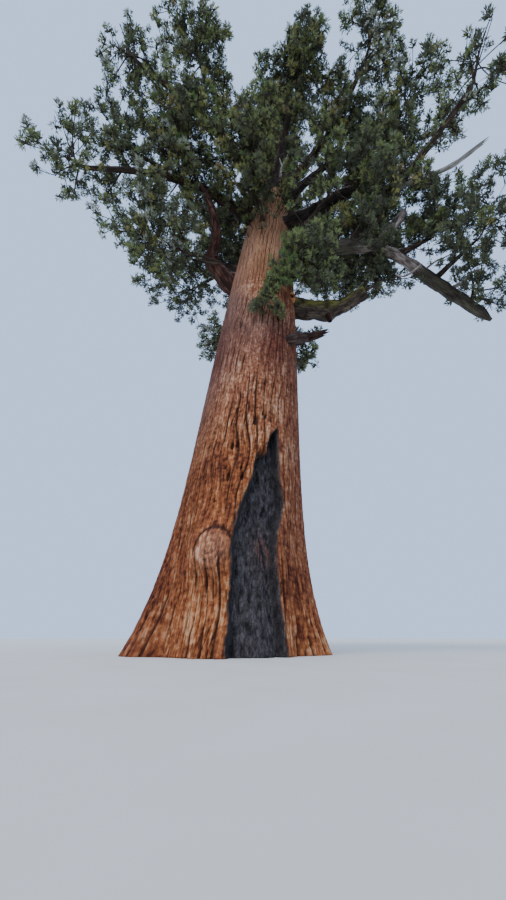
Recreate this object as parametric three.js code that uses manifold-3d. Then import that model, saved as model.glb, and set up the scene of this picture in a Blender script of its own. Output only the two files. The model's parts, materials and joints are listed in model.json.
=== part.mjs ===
// Giant sequoia: a whole old tree, scaled evenly so that it stands 40 m high.
// Millimetres, +Z up; the flat cut under the trunk lies at z = 0, its centre at the origin.
import * as THREE from "three";
import Module from "manifold-3d";

const wasm = await Module();
wasm.setup();
const { Manifold } = wasm;

// Overall sizes
const TREE_HEIGHT = 40000;
const GAP = 0.3;
const UP = new THREE.Vector3(0, 0, 1);

// Trunk: a leaning column that tapers slowly to mid height and quickly above it, on a flared foot
const TRUNK = {
  height: 36400,
  lean: 0.0775,
  columnRadius: 2150,
  taperPower: 1.18,
  flareRadius: 700,
  flareHeight: 2200,
  fluteHeight: 3200,
  sides: 36,
  rings: 21,
  ringPacking: 1.35,
};
const FLUTES = [
  { lobes: 5, depth: 0.075, turn: 0.6 },
  { lobes: 8, depth: 0.045, turn: 2.1 },
];
const BURL = { height: 3150, bearing: -105, reach: 260, spreadUp: 900, spreadRound: 24 };

// Fire scar: a tall burnt hollow in the front of the foot, given by its two edges (x, height)
const SCAR_DEPTH = 380;
const SCAR_CUT = 4000;
const SCAR_LEFT = [
  [1480, 6700], [1230, 5990], [990, 6100], [900, 5780], [690, 4950], [570, 4370],
  [450, 4220], [340, 3880], [230, 3390], [150, 2810], [190, 1800], [120, -200],
];
const SCAR_RIGHT = [
  [1720, 7000], [1670, 6190], [1680, 5420], [1770, 4790], [1760, 4120], [1650, 3530],
  [1490, 3020], [1480, 2370], [1560, 1200], [1720, -200],
];
const SCAR_APEX = [1700, 7250];

// Boughs. start: height on the trunk's axis, or fraction along the parent bough.
// reach and bearing give the level run, climb the rise from root to tip; arch and bend shape
// the limb up and down, sway and swerve sideways; root is the radius where it leaves its parent.
const BOUGHS = {
  left_arm: { start: 22800, reach: 10060, bearing: -154, climb: -2200, arch: 1350, sway: 480, root: 350 },
  left_rise: { parent: "left_arm", start: 0.55, reach: 3070, bearing: -158, climb: 790, root: 170 },
  left_bend: {
    start: 17300, reach: 4550, bearing: -141, climb: 5250, arch: -330, bend: -120, sway: -950,
    swerve: -520, root: 450,
  },
  left_hang: { parent: "left_bend", start: 0.42, reach: 2900, bearing: -146, climb: -900, root: 200 },
  left_back: { start: 20400, reach: 5100, bearing: 143, climb: 2300, arch: 250, root: 340 },
  left_inner: { start: 19300, reach: 4390, bearing: 168, climb: 2400, arch: -200, root: 280 },
  upper_left: { start: 26000, reach: 9570, bearing: -139, climb: 1500, arch: 560, sway: 480, root: 400 },
  upper_left_fork: { parent: "upper_left", start: 0.5, reach: 2590, bearing: -151, climb: -910, root: 170 },
  top_left: { start: 29500, reach: 6610, bearing: -133, climb: 2000, arch: 200, root: 310 },
  centre_rise: { start: 26000, reach: 4120, bearing: -70, climb: 5000, arch: 270, sway: -190, root: 430 },
  right_top: { start: 27500, reach: 7850, bearing: -49, climb: 2300, arch: -120, sway: 700, root: 360 },
  right_centre: { start: 25000, reach: 4770, bearing: -27, climb: 2600, sway: -150, root: 400 },
  right_long: { start: 22600, reach: 6360, bearing: -22, climb: 1600, arch: -80, sway: -100, root: 480 },
  right_fork: { parent: "right_long", start: 0.72, reach: 4120, bearing: -42, climb: 2510, root: 200 },
  right_tip: { start: 20600, reach: 11180, bearing: -35, climb: 2000, arch: -440, sway: 1450, root: 380 },
  right_front: { start: 18700, reach: 4160, bearing: -45, climb: 1500, root: 300 },
  right_back: { start: 21000, reach: 5000, bearing: 24, climb: 1500, arch: 250, root: 330 },
  first_limb: {
    start: 16100, reach: 5580, bearing: -6, climb: 430, arch: -410, sway: 440, bend: -140,
    swerve: -360, root: 500,
  },
  arch_limb: {
    start: 19000, reach: 10620, bearing: -2, climb: -3100, arch: 800, sway: -1740, bend: -850,
    swerve: -440, root: 550,
  },
  arch_riser: { parent: "arch_limb", start: 0.42, reach: 700, bearing: -57, climb: 1200, root: 220 },
  arch_outer: { parent: "arch_limb", start: 0.66, reach: 1840, bearing: -18, climb: 530, root: 200 },
  arch_edge: { parent: "arch_limb", start: 0.86, reach: 2450, bearing: -65, climb: -130, root: 160 },
  back_centre: { start: 22000, reach: 3670, bearing: 97, climb: 1500, arch: 200, root: 360 },
  back_right: { start: 24000, reach: 4310, bearing: 44, climb: 2300, arch: 250, root: 340 },
};

// Dead wood that carries no foliage: a bare spar, a broken stub and a snag on the lower trunk
const DEAD = {
  dead_spar: {
    parent: "right_tip", start: 0.62, reach: 4830, bearing: -23, climb: 1170, root: 130, tip: 0.25,
  },
  broken_stub: {
    parent: "arch_limb", start: 0.55, reach: 1790, bearing: -25, climb: 1950, root: 300, tip: 0.7,
  },
  snag: { start: 13600, reach: 3230, bearing: -16, climb: -560, sway: 240, root: 340, tip: 0.3 },
};

// Masses of foliage: the centre lies ahead, aside and above of the bough's tip, or out from the
// trunk's axis at a height and bearing; spread is the radius of the space the mass may fill.
const MASSES = {
  left_arm: { ahead: 1100, aside: -300, above: 700, spread: 2500 },
  left_rise: { ahead: 820, aside: 380, above: 1000, spread: 2500 },
  left_bend: { ahead: 1200, aside: 300, above: 1900, spread: 2900 },
  left_hang: { ahead: 1200, aside: 100, above: 100, spread: 2500 },
  left_back: { ahead: 2100, aside: 40, above: 500, spread: 2900 },
  left_inner: { ahead: 1700, aside: 20, above: 500, spread: 2600 },
  upper_left: { ahead: 1080, aside: -130, above: 700, spread: 2600 },
  upper_left_fork: { ahead: 910, aside: -380, above: 900, spread: 2600 },
  top_left: { ahead: 1240, aside: 570, above: 1500, spread: 2900 },
  centre_rise: { ahead: 1400, aside: -30, above: 2200, spread: 3000 },
  right_top: { ahead: 1030, aside: -370, above: 1400, spread: 2800 },
  right_centre: { ahead: 910, aside: -1010, above: 1600, spread: 2800 },
  right_long: { ahead: 1500, aside: -170, above: 1000, spread: 2700 },
  right_fork: { ahead: 1190, aside: -280, above: 1400, spread: 2700 },
  right_tip: { ahead: 900, aside: -460, above: 1400, spread: 2300 },
  right_front: { ahead: 1000, aside: 50, above: 1200, spread: 2600 },
  right_back: { ahead: 1700, aside: 40, above: 800, spread: 2700 },
  first_limb: { ahead: 1180, aside: 330, above: 1370, spread: 2100 },
  arch_limb: { ahead: 270, aside: -830, above: 300, spread: 1900 },
  arch_riser: { ahead: 600, aside: 100, above: 1200, spread: 2300 },
  arch_outer: { ahead: 420, aside: -620, above: 1300, spread: 2400 },
  arch_edge: { ahead: 840, aside: -210, above: 600, spread: 2100 },
  back_centre: { ahead: 1580, aside: 40, above: 700, spread: 2900 },
  back_right: { ahead: 1600, aside: 50, above: 700, spread: 3000 },
  back_upper: { height: 32400, bearing: 90, out: 3300, drop: 1800, spread: 3000 },
  back_high: { height: 29200, bearing: 143, out: 4700, drop: 1900, spread: 2900 },
  centre_front: { height: 23000, bearing: -104, out: 4400, drop: 1500, spread: 2500 },
  front_right: { height: 16200, bearing: -53, out: 3260, drop: 500, spread: 1700 },
  low_left: { height: 15800, bearing: 139, out: 3820, drop: 400, spread: 1100 },
  low_right: { height: 14000, bearing: 32, out: 2790, drop: 200, spread: 900 },
  top_front: { height: 34400, bearing: -97, out: 2220, drop: 1400, spread: 2700 },
  top: { height: 37450, bearing: 0, out: 0, drop: 0, spread: TREE_HEIGHT - 37450 },
};

// Growth rule of a mass: a dense heart at the stem's end, twigs spread evenly from it, and at each
// twig's end a spray that stands for many small ones: a toothed blade, flat below, ridged above
const GROWTH = {
  twigsPerMetre: 4.4,
  heart: 0.62,
  heartUneven: 0.24,
  heartLeast: 200,
  turnUneven: 0.5,
  riseUneven: 0.2,
  rollUneven: 1.1,
  twigShare: 0.44,
  twigThick: 85,
  twigThin: 50,
  bladeShortest: 450,
  bladeWide: 0.72,
  bladeThick: 0.2,
  clearance: 60,
  borderGap: 25,
};
const BLADE_STATIONS = [
  { left: [0.3, 1], right: [0.4, 0.9], ridge: [0.34, 1] },
  { left: [0.62, 0.42], right: [0.66, 0.5], ridge: [0.64, 0.7] },
];

const radians = (degrees) => (degrees * Math.PI) / 180;

// Even random numbers from a seed, the same on any machine
const makeDice = (seed) => {
  let state = seed;
  return () => {
    state = (state * 48271) % 2147483647;
    return state / 2147483647;
  };
};

// A closed solid from corner points and triangles
const solidFrom = (points, faces) => {
  const vertProperties = new Float32Array(points.flatMap((p) => [p.x, p.y, p.z]));
  const triVerts = new Uint32Array(faces.flat());
  return new Manifold(new wasm.Mesh({ numProp: 3, vertProperties, triVerts }));
};

// A solid skinned over rings of equal count, closed by a fan at each end
const skin = (rings) => {
  const count = rings[0].length;
  const points = rings.flat();
  const faces = [];
  for (let i = 0; i + 1 < rings.length; i += 1) {
    for (let k = 0; k < count; k += 1) {
      const next = (k + 1) % count;
      const a = i * count + k;
      const b = i * count + next;
      const c = a + count;
      const d = b + count;
      faces.push([a, b, d], [a, d, c]);
    }
  }
  const middle = (ring) => ring.reduce((sum, p) => sum.add(p), new THREE.Vector3()).divideScalar(count);
  const foot = points.push(middle(rings[0])) - 1;
  const head = points.push(middle(rings[rings.length - 1])) - 1;
  const last = (rings.length - 1) * count;
  for (let k = 0; k < count; k += 1) {
    const next = (k + 1) % count;
    faces.push([foot, next, k], [head, last + k, last + next]);
  }
  return solidFrom(points, faces);
};

const trunkAxis = (height) => new THREE.Vector3(TRUNK.lean * height, 0, height);

const trunkRadius = (height) => {
  const column = TRUNK.columnRadius * (1 - (height / TREE_HEIGHT) ** 2) ** TRUNK.taperPower;
  return column + TRUNK.flareRadius * Math.exp(-height / TRUNK.flareHeight);
};

// The trunk's skin radius at a height and bearing, with root flutes and the burl at the foot
const trunkSkin = (height, bearing) => {
  const fade = Math.exp(-height / TRUNK.fluteHeight);
  let radius = trunkRadius(height);
  for (const { lobes, depth, turn } of FLUTES) {
    radius *= 1 + depth * fade * Math.cos(lobes * bearing + turn);
  }
  const up = (height - BURL.height) / BURL.spreadUp;
  const away = ((bearing - radians(BURL.bearing) + 3 * Math.PI) % (2 * Math.PI)) - Math.PI;
  const round = away / radians(BURL.spreadRound);
  return radius + BURL.reach * Math.exp(-up * up - round * round);
};

// The trunk, its skin moved outward by extra
const makeTrunk = (extra) => {
  const rings = [];
  for (let i = 0; i < TRUNK.rings; i += 1) {
    const share = i / (TRUNK.rings - 1);
    const height = TRUNK.height * share ** TRUNK.ringPacking;
    const top = i === TRUNK.rings - 1 ? Math.max(extra, 0) : 0;
    const ring = [];
    for (let k = 0; k < TRUNK.sides; k += 1) {
      const bearing = (2 * Math.PI * k) / TRUNK.sides;
      const radius = trunkSkin(height, bearing) + extra;
      const point = trunkAxis(height);
      point.x += radius * Math.cos(bearing);
      point.y += radius * Math.sin(bearing);
      point.z += top;
      ring.push(point);
    }
    rings.push(ring);
  }
  return skin(rings);
};

// The burnt hollow: the scar's outline pushed into the front of the trunk down to a smaller core
const makeScar = () => {
  const outline = [SCAR_APEX, ...SCAR_LEFT, ...[...SCAR_RIGHT].reverse()];
  const shape = new THREE.Shape(outline.map(([x, z]) => new THREE.Vector2(x, z)));
  const geometry = new THREE.ExtrudeGeometry(shape, { depth: SCAR_CUT, bevelEnabled: false });
  geometry.rotateX(Math.PI / 2);
  const positions = geometry.getAttribute("position");
  const points = [];
  const index = new Map();
  const faces = [];
  for (let i = 0; i < positions.count; i += 3) {
    const face = [0, 1, 2].map((k) => {
      const p = new THREE.Vector3().fromBufferAttribute(positions, i + k);
      const key = [p.x, p.y, p.z].map((v) => Math.round(v * 100)).join();
      if (!index.has(key)) index.set(key, points.push(p) - 1);
      return index.get(key);
    });
    faces.push(face);
  }
  return solidFrom(points, faces).subtract(makeTrunk(-SCAR_DEPTH));
};

// Points along a bough's centre line
const boughPath = (bough, root) => (t) => {
  const { reach, climb, arch = 0, sway = 0, bend = 0, swerve = 0 } = bough;
  const bearing = radians(bough.bearing);
  const ahead = new THREE.Vector3(Math.cos(bearing), Math.sin(bearing), 0);
  const aside = new THREE.Vector3(-Math.sin(bearing), Math.cos(bearing), 0);
  const once = Math.sin(Math.PI * t);
  const twice = Math.sin(2 * Math.PI * t);
  return root
    .clone()
    .addScaledVector(ahead, t * reach)
    .addScaledVector(UP, climb * t + arch * once + bend * twice)
    .addScaledVector(aside, sway * once + swerve * twice);
};

const BOUGH_TIP = 0.4;
const boughRadius = (bough, t) => bough.root * (1 - (1 - (bough.tip ?? BOUGH_TIP)) * t);

const heading = (path, t) => {
  const step = 0.01;
  return path(Math.min(t + step, 1)).sub(path(Math.max(t - step, 0))).normalize();
};

// Two directions square to a heading, the first level
const crossFrame = (direction) => {
  const level = new THREE.Vector3().crossVectors(UP, direction);
  if (level.lengthSq() < 1e-3) level.set(1, 0, 0);
  level.normalize();
  return [level, new THREE.Vector3().crossVectors(direction, level)];
};

// A limb skinned along a path, extra wide by a given amount
const makeLimb = (path, radiusAt, sides, stations, extra) => {
  const rings = [];
  for (let i = 0; i <= stations; i += 1) {
    const t = i / stations;
    const direction = heading(path, t);
    const [level, over] = crossFrame(direction);
    const centre = path(t);
    if (i === stations) centre.addScaledVector(direction, extra);
    const radius = radiusAt(t) + extra;
    const ring = [];
    for (let k = 0; k < sides; k += 1) {
      const turn = (2 * Math.PI * k) / sides;
      const point = centre.clone().addScaledVector(level, radius * Math.cos(turn));
      ring.push(point.addScaledVector(over, radius * Math.sin(turn)));
    }
    rings.push(ring);
  }
  return skin(rings);
};

const BOUGH_SIDES = 8;
const STEM_SIDES = 4;
const paths = {};
const limbs = { ...BOUGHS, ...DEAD };

const pathOf = (name) => {
  if (!paths[name]) {
    const bough = limbs[name];
    const root = bough.parent ? pathOf(bough.parent)(bough.start) : trunkAxis(bough.start);
    paths[name] = boughPath(bough, root);
  }
  return paths[name];
};

// More stations for a limb that winds than for one that arches or runs straight
const stationsOf = ({ arch = 0, sway = 0, bend = 0, swerve = 0 }) => {
  if (Math.abs(bend) + Math.abs(swerve) > 600) return 12;
  return Math.abs(arch) + Math.abs(sway) > 150 ? 6 : 3;
};

const makeBough = (name, extra) => {
  const bough = limbs[name];
  return makeLimb(pathOf(name), (t) => boughRadius(bough, t), BOUGH_SIDES, stationsOf(bough), extra);
};

// A mass's stem leaves the bough in the bough's direction, or the trunk nearly level, and bends
// once on its way to the mass's centre
const STEM = {
  shareOfBough: 0.75,
  shareOfTrunk: 0.7,
  thickLeast: 60,
  thickPerSpread: 0.045,
  boughKnee: 0.3,
  trunkKnee: 0.5,
  kneeRise: 0.2,
  thinning: 0.5,
};

// Where a mass on a bough's tip sits: its centre, its stem's three points and thickness
const placeOnBough = (name) => {
  const { ahead, aside, above, spread } = MASSES[name];
  const path = pathOf(name);
  const direction = heading(path, 1);
  const bearing = radians(BOUGHS[name].bearing);
  const centre = path(1);
  centre.x += ahead * Math.cos(bearing) - aside * Math.sin(bearing);
  centre.y += ahead * Math.sin(bearing) + aside * Math.cos(bearing);
  centre.z += above;
  const root = path(1).addScaledVector(direction, GAP);
  const knee = root.clone().addScaledVector(direction, root.distanceTo(centre) * STEM.boughKnee);
  const thick = boughRadius(BOUGHS[name], 1) * STEM.shareOfBough;
  return { name, centre, spread, thick, stem: [root, knee, centre] };
};

// Where a mass that grows from the trunk sits; with no way out it stands on the trunk's tip
const placeOnTrunk = (name) => {
  const { height, out, drop, spread } = MASSES[name];
  const bearing = radians(MASSES[name].bearing);
  const centre = trunkAxis(height);
  centre.x += out * Math.cos(bearing);
  centre.y += out * Math.sin(bearing);
  const root = trunkAxis(out ? height - drop : TRUNK.height);
  const knee = root.clone().lerp(centre, STEM.trunkKnee);
  if (out) knee.z = root.z + STEM.kneeRise * (centre.z - root.z);
  const branched = STEM.thickLeast + STEM.thickPerSpread * spread;
  const thick = out ? branched : trunkRadius(TRUNK.height) * STEM.shareOfTrunk;
  return { name, centre, spread, thick, stem: [root, knee, centre] };
};

const places = Object.keys(MASSES).map((name) => {
  return MASSES[name].height ? placeOnTrunk(name) : placeOnBough(name);
});

// The planes that part a mass's space from its neighbours' spaces
const bordersOf = (place) => {
  const borders = [];
  for (const other of places) {
    if (other === place) continue;
    const normal = other.centre.clone().sub(place.centre);
    const distance = normal.length();
    if (distance > place.spread + other.spread) continue;
    normal.divideScalar(distance);
    const share = (distance ** 2 + place.spread ** 2 - other.spread ** 2) / (2 * distance);
    borders.push({ normal, limit: normal.dot(place.centre) + share - GROWTH.borderGap });
  }
  return borders;
};

for (const place of places) place.borders = bordersOf(place);

// How far a point lies inside the mass's space; negative when outside
const depthInside = (place, point) => {
  let depth = place.spread - point.distanceTo(place.centre);
  for (const { normal, limit } of place.borders) depth = Math.min(depth, limit - normal.dot(point));
  return depth;
};

// How far a ray from a point runs before it leaves the mass's space
const roomAlong = (place, origin, direction) => {
  const offset = origin.clone().sub(place.centre);
  const along = offset.dot(direction);
  const inside = along * along - offset.lengthSq() + place.spread ** 2;
  if (inside <= 0) return 0;
  let room = Math.sqrt(inside) - along;
  for (const { normal, limit } of place.borders) {
    const rate = normal.dot(direction);
    if (rate > 1e-6) room = Math.min(room, (limit - normal.dot(origin)) / rate);
  }
  return room;
};

// Shortest distance between two straight pieces
const pieceDistance = (p0, p1, q0, q1) => {
  const u = p1.clone().sub(p0);
  const v = q1.clone().sub(q0);
  const w = p0.clone().sub(q0);
  const a = u.dot(u);
  const b = u.dot(v);
  const c = v.dot(v);
  const d = u.dot(w);
  const e = v.dot(w);
  const flat = a * c - b * b;
  let s = flat > 1e-9 ? Math.min(Math.max((b * e - c * d) / flat, 0), 1) : 0;
  const t = Math.min(Math.max((b * s + e) / c, 0), 1);
  s = Math.min(Math.max((b * t - d) / a, 0), 1);
  return p0.clone().addScaledVector(u, s).distanceTo(q0.clone().addScaledVector(v, t));
};

// Straight pieces that stand in the way of growth: trunk, boughs, dead wood and every stem
const TRUNK_PIECES = 16;
const BOUGH_PIECES = 8;
const hurdles = [];
for (let i = 0; i < TRUNK_PIECES; i += 1) {
  const low = (TRUNK.height * i) / TRUNK_PIECES;
  const high = (TRUNK.height * (i + 1)) / TRUNK_PIECES;
  hurdles.push({ from: trunkAxis(low), to: trunkAxis(high), radius: trunkRadius(low) });
}
for (const [name, bough] of Object.entries(limbs)) {
  const path = pathOf(name);
  for (let i = 0; i < BOUGH_PIECES; i += 1) {
    const near = i / BOUGH_PIECES;
    const far = (i + 1) / BOUGH_PIECES;
    hurdles.push({ from: path(near), to: path(far), radius: boughRadius(bough, near) });
  }
}
for (const { name, thick, stem } of places) {
  hurdles.push({ mass: name, from: stem[0], to: stem[1], radius: thick });
  hurdles.push({ mass: name, from: stem[1], to: stem[2], radius: thick });
}

// Whether a straight piece of given half width keeps clear of every limb but the mass's own stem
const isClear = (place, from, to, width) =>
  hurdles.every((hurdle) => {
    if (hurdle.mass === place.name) return true;
    const need = hurdle.radius + width + GROWTH.clearance;
    return pieceDistance(from, to, hurdle.from, hurdle.to) >= need;
  });

// Corners of a spray in rings of three: both side edges and the ridge, ending in one tip
const bladeRings = ({ root, direction, side, length }) => {
  const over = new THREE.Vector3().crossVectors(direction, side);
  const width = length * GROWTH.bladeWide;
  const thick = length * GROWTH.bladeThick;
  return BLADE_STATIONS.map(({ left, right, ridge }) => [
    root.clone().addScaledVector(direction, left[0] * length).addScaledVector(side, left[1] * width),
    root.clone().addScaledVector(direction, ridge[0] * length).addScaledVector(over, ridge[1] * thick),
    root.clone().addScaledVector(direction, right[0] * length).addScaledVector(side, -right[1] * width),
  ]);
};

const bladeTip = ({ root, direction, length }) => root.clone().addScaledVector(direction, length);

// Where a spray may stand: its root, heading, side and length, or null when it has no room
const fitBlade = (place, root, direction, roll, longest) => {
  const [level, over] = crossFrame(direction);
  const side = level.multiplyScalar(Math.cos(roll)).addScaledVector(over, Math.sin(roll));
  let length = longest;
  for (let attempt = 0; attempt < 6; attempt += 1) {
    if (length < GROWTH.bladeShortest) return null;
    const blade = { root, direction, side, length };
    const corners = bladeRings(blade).flat();
    const inside = corners.every((corner) => depthInside(place, corner) >= 0);
    if (inside && isClear(place, root, bladeTip(blade), length * GROWTH.bladeWide * 0.6)) return blade;
    length *= 0.85;
  }
  return null;
};

// A twig with its spray as one closed body: two rings for the twig, the spray's rings and its tip
const makeSpray = (from, blade) => {
  const over = new THREE.Vector3().crossVectors(blade.direction, blade.side);
  const twigRing = (centre, radius) => [
    centre.clone().addScaledVector(blade.side, radius).addScaledVector(over, -radius * 0.5),
    centre.clone().addScaledVector(over, radius),
    centre.clone().addScaledVector(blade.side, -radius).addScaledVector(over, -radius * 0.5),
  ];
  const twig = [twigRing(from, GROWTH.twigThick), twigRing(blade.root, GROWTH.twigThin)];
  const rings = [...twig, ...bladeRings(blade)];
  const points = rings.flat();
  const tip = points.push(bladeTip(blade)) - 1;
  const faces = [[0, 2, 1]];
  for (let i = 0; i + 1 < rings.length; i += 1) {
    for (let k = 0; k < 3; k += 1) {
      const next = (k + 1) % 3;
      const a = 3 * i + k;
      const b = 3 * i + next;
      faces.push([a, b, b + 3], [a, b + 3, a + 3]);
    }
  }
  const last = 3 * (rings.length - 1);
  for (let k = 0; k < 3; k += 1) faces.push([last + k, last + ((k + 1) % 3), tip]);
  return solidFrom(points, faces);
};

// The dense heart: an uneven ball of twenty faces, kept clear of limbs and of the space's borders
const heartRadius = (place) => {
  let radius = Math.min(place.spread * GROWTH.heart, depthInside(place, place.centre));
  for (const hurdle of hurdles) {
    if (hurdle.mass === place.name) continue;
    const away = pieceDistance(place.centre, place.centre.clone().add(UP), hurdle.from, hurdle.to);
    radius = Math.min(radius, away - hurdle.radius - GROWTH.clearance);
  }
  return radius / (1 + GROWTH.heartUneven);
};

const makeHeart = (place, radius, dice) => {
  const ball = new THREE.IcosahedronGeometry(1, 0).getAttribute("position");
  const corners = new Map();
  const points = [];
  const faces = [];
  for (let i = 0; i < ball.count; i += 3) {
    const face = [0, 1, 2].map((k) => {
      const p = new THREE.Vector3().fromBufferAttribute(ball, i + k);
      const key = p.toArray().map((v) => Math.round(v * 1000)).join();
      if (!corners.has(key)) {
        const reach = radius * (1 + GROWTH.heartUneven * (2 * dice() - 1));
        corners.set(key, points.push(place.centre.clone().addScaledVector(p, reach)) - 1);
      }
      return corners.get(key);
    });
    faces.push(face);
  }
  return solidFrom(points, faces);
};

// Grows a mass: stem, heart and one spray on each twig that has room
const growMass = (place, seed) => {
  const dice = makeDice(seed);
  const [root, knee, end] = place.stem;
  const stemPath = (t) => (t < 0.5 ? root.clone().lerp(knee, t * 2) : knee.clone().lerp(end, t * 2 - 1));
  const parts = [makeLimb(stemPath, (t) => place.thick * (1 - STEM.thinning * t), STEM_SIDES, 2, 0)];
  const count = Math.round((place.spread / 1000) * GROWTH.twigsPerMetre);
  const golden = Math.PI * (3 - Math.sqrt(5));
  const heart = heartRadius(place);
  for (let i = 0; i < count; i += 1) {
    const rise = 1 - (2 * i) / (count - 1);
    const flat = Math.sqrt(Math.max(1 - rise * rise, 0));
    const turn = golden * i + seed + (dice() - 0.5) * GROWTH.turnUneven;
    const wander = (dice() - 0.5) * GROWTH.riseUneven;
    const roll = (dice() - 0.5) * GROWTH.rollUneven;
    const direction = new THREE.Vector3(flat * Math.cos(turn), flat * Math.sin(turn), rise);
    if (i) direction.z += wander;
    direction.normalize();
    const room = roomAlong(place, end, direction);
    const bladeRoot = end.clone().addScaledVector(direction, room * GROWTH.twigShare);
    if (!isClear(place, end.clone().addScaledVector(direction, heart), bladeRoot, GROWTH.twigThin)) continue;
    const blade = fitBlade(place, bladeRoot, direction, roll, room * (1 - GROWTH.twigShare) - 1);
    if (blade) parts.push(makeSpray(end.clone().addScaledVector(direction, heart * 0.5), blade));
  }
  if (heart > GROWTH.heartLeast) parts.push(makeHeart(place, heart, dice));
  return parts;
};

// The largest closed body of a solid, without its loose scraps
const largestBody = (solid) => {
  const bodies = solid.decompose();
  return bodies.reduce((best, body) => (body.volume() > best.volume() ? body : best));
};

const group = new THREE.Group();

// Adds one solid to the group as a named mesh with its own material
const addMesh = (name, solid, { color, roughness }) => {
  const { vertProperties, triVerts, numProp } = solid.getMesh();
  const positions = new Float32Array(triVerts.length * 3);
  for (let i = 0; i < triVerts.length; i += 1) {
    for (let k = 0; k < 3; k += 1) positions[3 * i + k] = vertProperties[triVerts[i] * numProp + k];
  }
  const geometry = new THREE.BufferGeometry();
  geometry.setAttribute("position", new THREE.BufferAttribute(positions, 3));
  geometry.computeVertexNormals();
  const material = new THREE.MeshStandardMaterial({ color, roughness, metalness: 0 });
  const mesh = new THREE.Mesh(geometry, material);
  mesh.name = name;
  group.add(mesh);
};

const BARK = { color: 0x8a5236, roughness: 0.9 };
const LIMB_BARK = { color: 0x6d5546, roughness: 0.9 };
const DEAD_WOOD = { color: 0xa09a90, roughness: 0.85 };
const FOLIAGE = { color: 0x3d4a26, roughness: 0.8 };

addMesh("trunk", makeTrunk(0).subtract(makeScar()), BARK);

const trunkClear = makeTrunk(GAP);
for (const name of Object.keys(limbs)) {
  const { parent } = limbs[name];
  const around = parent ? makeBough(parent, GAP) : trunkClear;
  const solid = largestBody(makeBough(name, 0).subtract(around));
  if (name in DEAD) addMesh(name, solid, DEAD_WOOD);
  else addMesh(`bough_${name}`, solid, LIMB_BARK);
}

places.forEach((place, i) => {
  const seed = 211 + 37 * i;
  let solid = Manifold.union(growMass(place, seed));
  if (MASSES[place.name].height) solid = solid.subtract(trunkClear);
  addMesh(`foliage_${place.name}`, largestBody(solid), FOLIAGE);
});

export default group;
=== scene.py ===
"""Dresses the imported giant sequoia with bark, limbs, twigs and sprays of leaves. Metres, +Z up."""
import json
import logging
import math
from dataclasses import dataclass, field, replace
from enum import Enum

import bpy
import numpy as np
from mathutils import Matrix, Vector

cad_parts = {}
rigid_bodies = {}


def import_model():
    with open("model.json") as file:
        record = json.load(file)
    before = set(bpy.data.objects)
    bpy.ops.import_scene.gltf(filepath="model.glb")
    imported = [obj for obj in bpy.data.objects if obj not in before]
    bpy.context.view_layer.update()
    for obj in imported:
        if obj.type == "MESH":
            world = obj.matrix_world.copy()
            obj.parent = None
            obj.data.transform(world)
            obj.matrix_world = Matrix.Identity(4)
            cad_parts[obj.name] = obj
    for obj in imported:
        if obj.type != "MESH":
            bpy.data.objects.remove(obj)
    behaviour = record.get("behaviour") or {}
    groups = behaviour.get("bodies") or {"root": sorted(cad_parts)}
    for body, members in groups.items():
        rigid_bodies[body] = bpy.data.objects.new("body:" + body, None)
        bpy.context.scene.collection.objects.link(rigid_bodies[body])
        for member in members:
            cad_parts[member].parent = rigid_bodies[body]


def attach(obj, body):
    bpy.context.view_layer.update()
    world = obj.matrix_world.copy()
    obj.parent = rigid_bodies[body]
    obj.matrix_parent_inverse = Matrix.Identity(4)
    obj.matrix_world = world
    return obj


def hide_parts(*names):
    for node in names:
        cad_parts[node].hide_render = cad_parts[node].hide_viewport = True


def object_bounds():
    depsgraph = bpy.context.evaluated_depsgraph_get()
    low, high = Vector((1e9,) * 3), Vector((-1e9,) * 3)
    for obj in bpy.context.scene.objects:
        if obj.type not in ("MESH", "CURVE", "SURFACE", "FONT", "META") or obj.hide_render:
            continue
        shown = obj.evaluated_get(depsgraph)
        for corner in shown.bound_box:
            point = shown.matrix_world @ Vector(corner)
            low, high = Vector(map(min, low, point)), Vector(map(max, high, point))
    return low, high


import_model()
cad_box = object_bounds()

logging.basicConfig(level=logging.INFO, format="%(message)s")
log = logging.getLogger("sequoia")

Piece = bpy.types.Object
Socket = bpy.types.NodeSocket
Value = float | Socket
Row = tuple[float, ...]
Table = tuple[Row, ...]
Colour = Row | Socket
Reals = float | np.ndarray

TREE_HEIGHT = 40.0
GAP = 0.0003
UP = np.array([0.0, 0.0, 1.0])
GOLDEN_TURN = math.pi * (3 - math.sqrt(5))


class Wood(Enum):
    """The finish that a limb's surface takes."""

    LIVING = "living"
    RED = "red"
    MOSSY = "mossy"
    PALE = "pale"
    SHADED = "shaded"
    DEAD = "dead"
    BLEACHED = "bleached"
    KNOT = "knot"


class Tint(Enum):
    """The plain colours that are dealt out among the sprays, as sRGB hex."""

    DEEP = "4b4d3a"
    DARK = "5f6446"
    GREEN = "757e4b"
    FRESH = "5a713d"
    OLIVE = "8c8850"
    BROWN = "907b51"
    GREY = "8c8f7d"
    SILVER = "9a9c90"


class Palette(Enum):
    """Shares of each tint in one mass's sprays, in the order of Tint."""

    # the darkest tints, for the tufts in each mass's heart: painted shade
    DEEP = (9, 3, 0, 0, 0, 0, 0, 0)
    SHADE = (5, 5, 3, 0, 1, 0, 1, 0)
    FRESH = (2, 4, 6, 4, 1, 0, 0, 0)
    OLIVE = (2, 4, 4, 1, 4, 2, 0, 0)
    OUTER = (2, 4, 3, 0, 1, 0, 4, 2)
    MIXED = (3, 5, 4, 1, 2, 1, 1, 0)
    HIGH = (2, 4, 4, 0, 3, 1, 3, 1)


@dataclass
class Dice:
    """Even random numbers from a first state, by the same rule as the source's."""

    state: int

    def roll(self) -> float:
        """Returns: the next number between 0 and 1."""
        self.state = (self.state * 48271) % 2147483647
        return self.state / 2147483647


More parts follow.
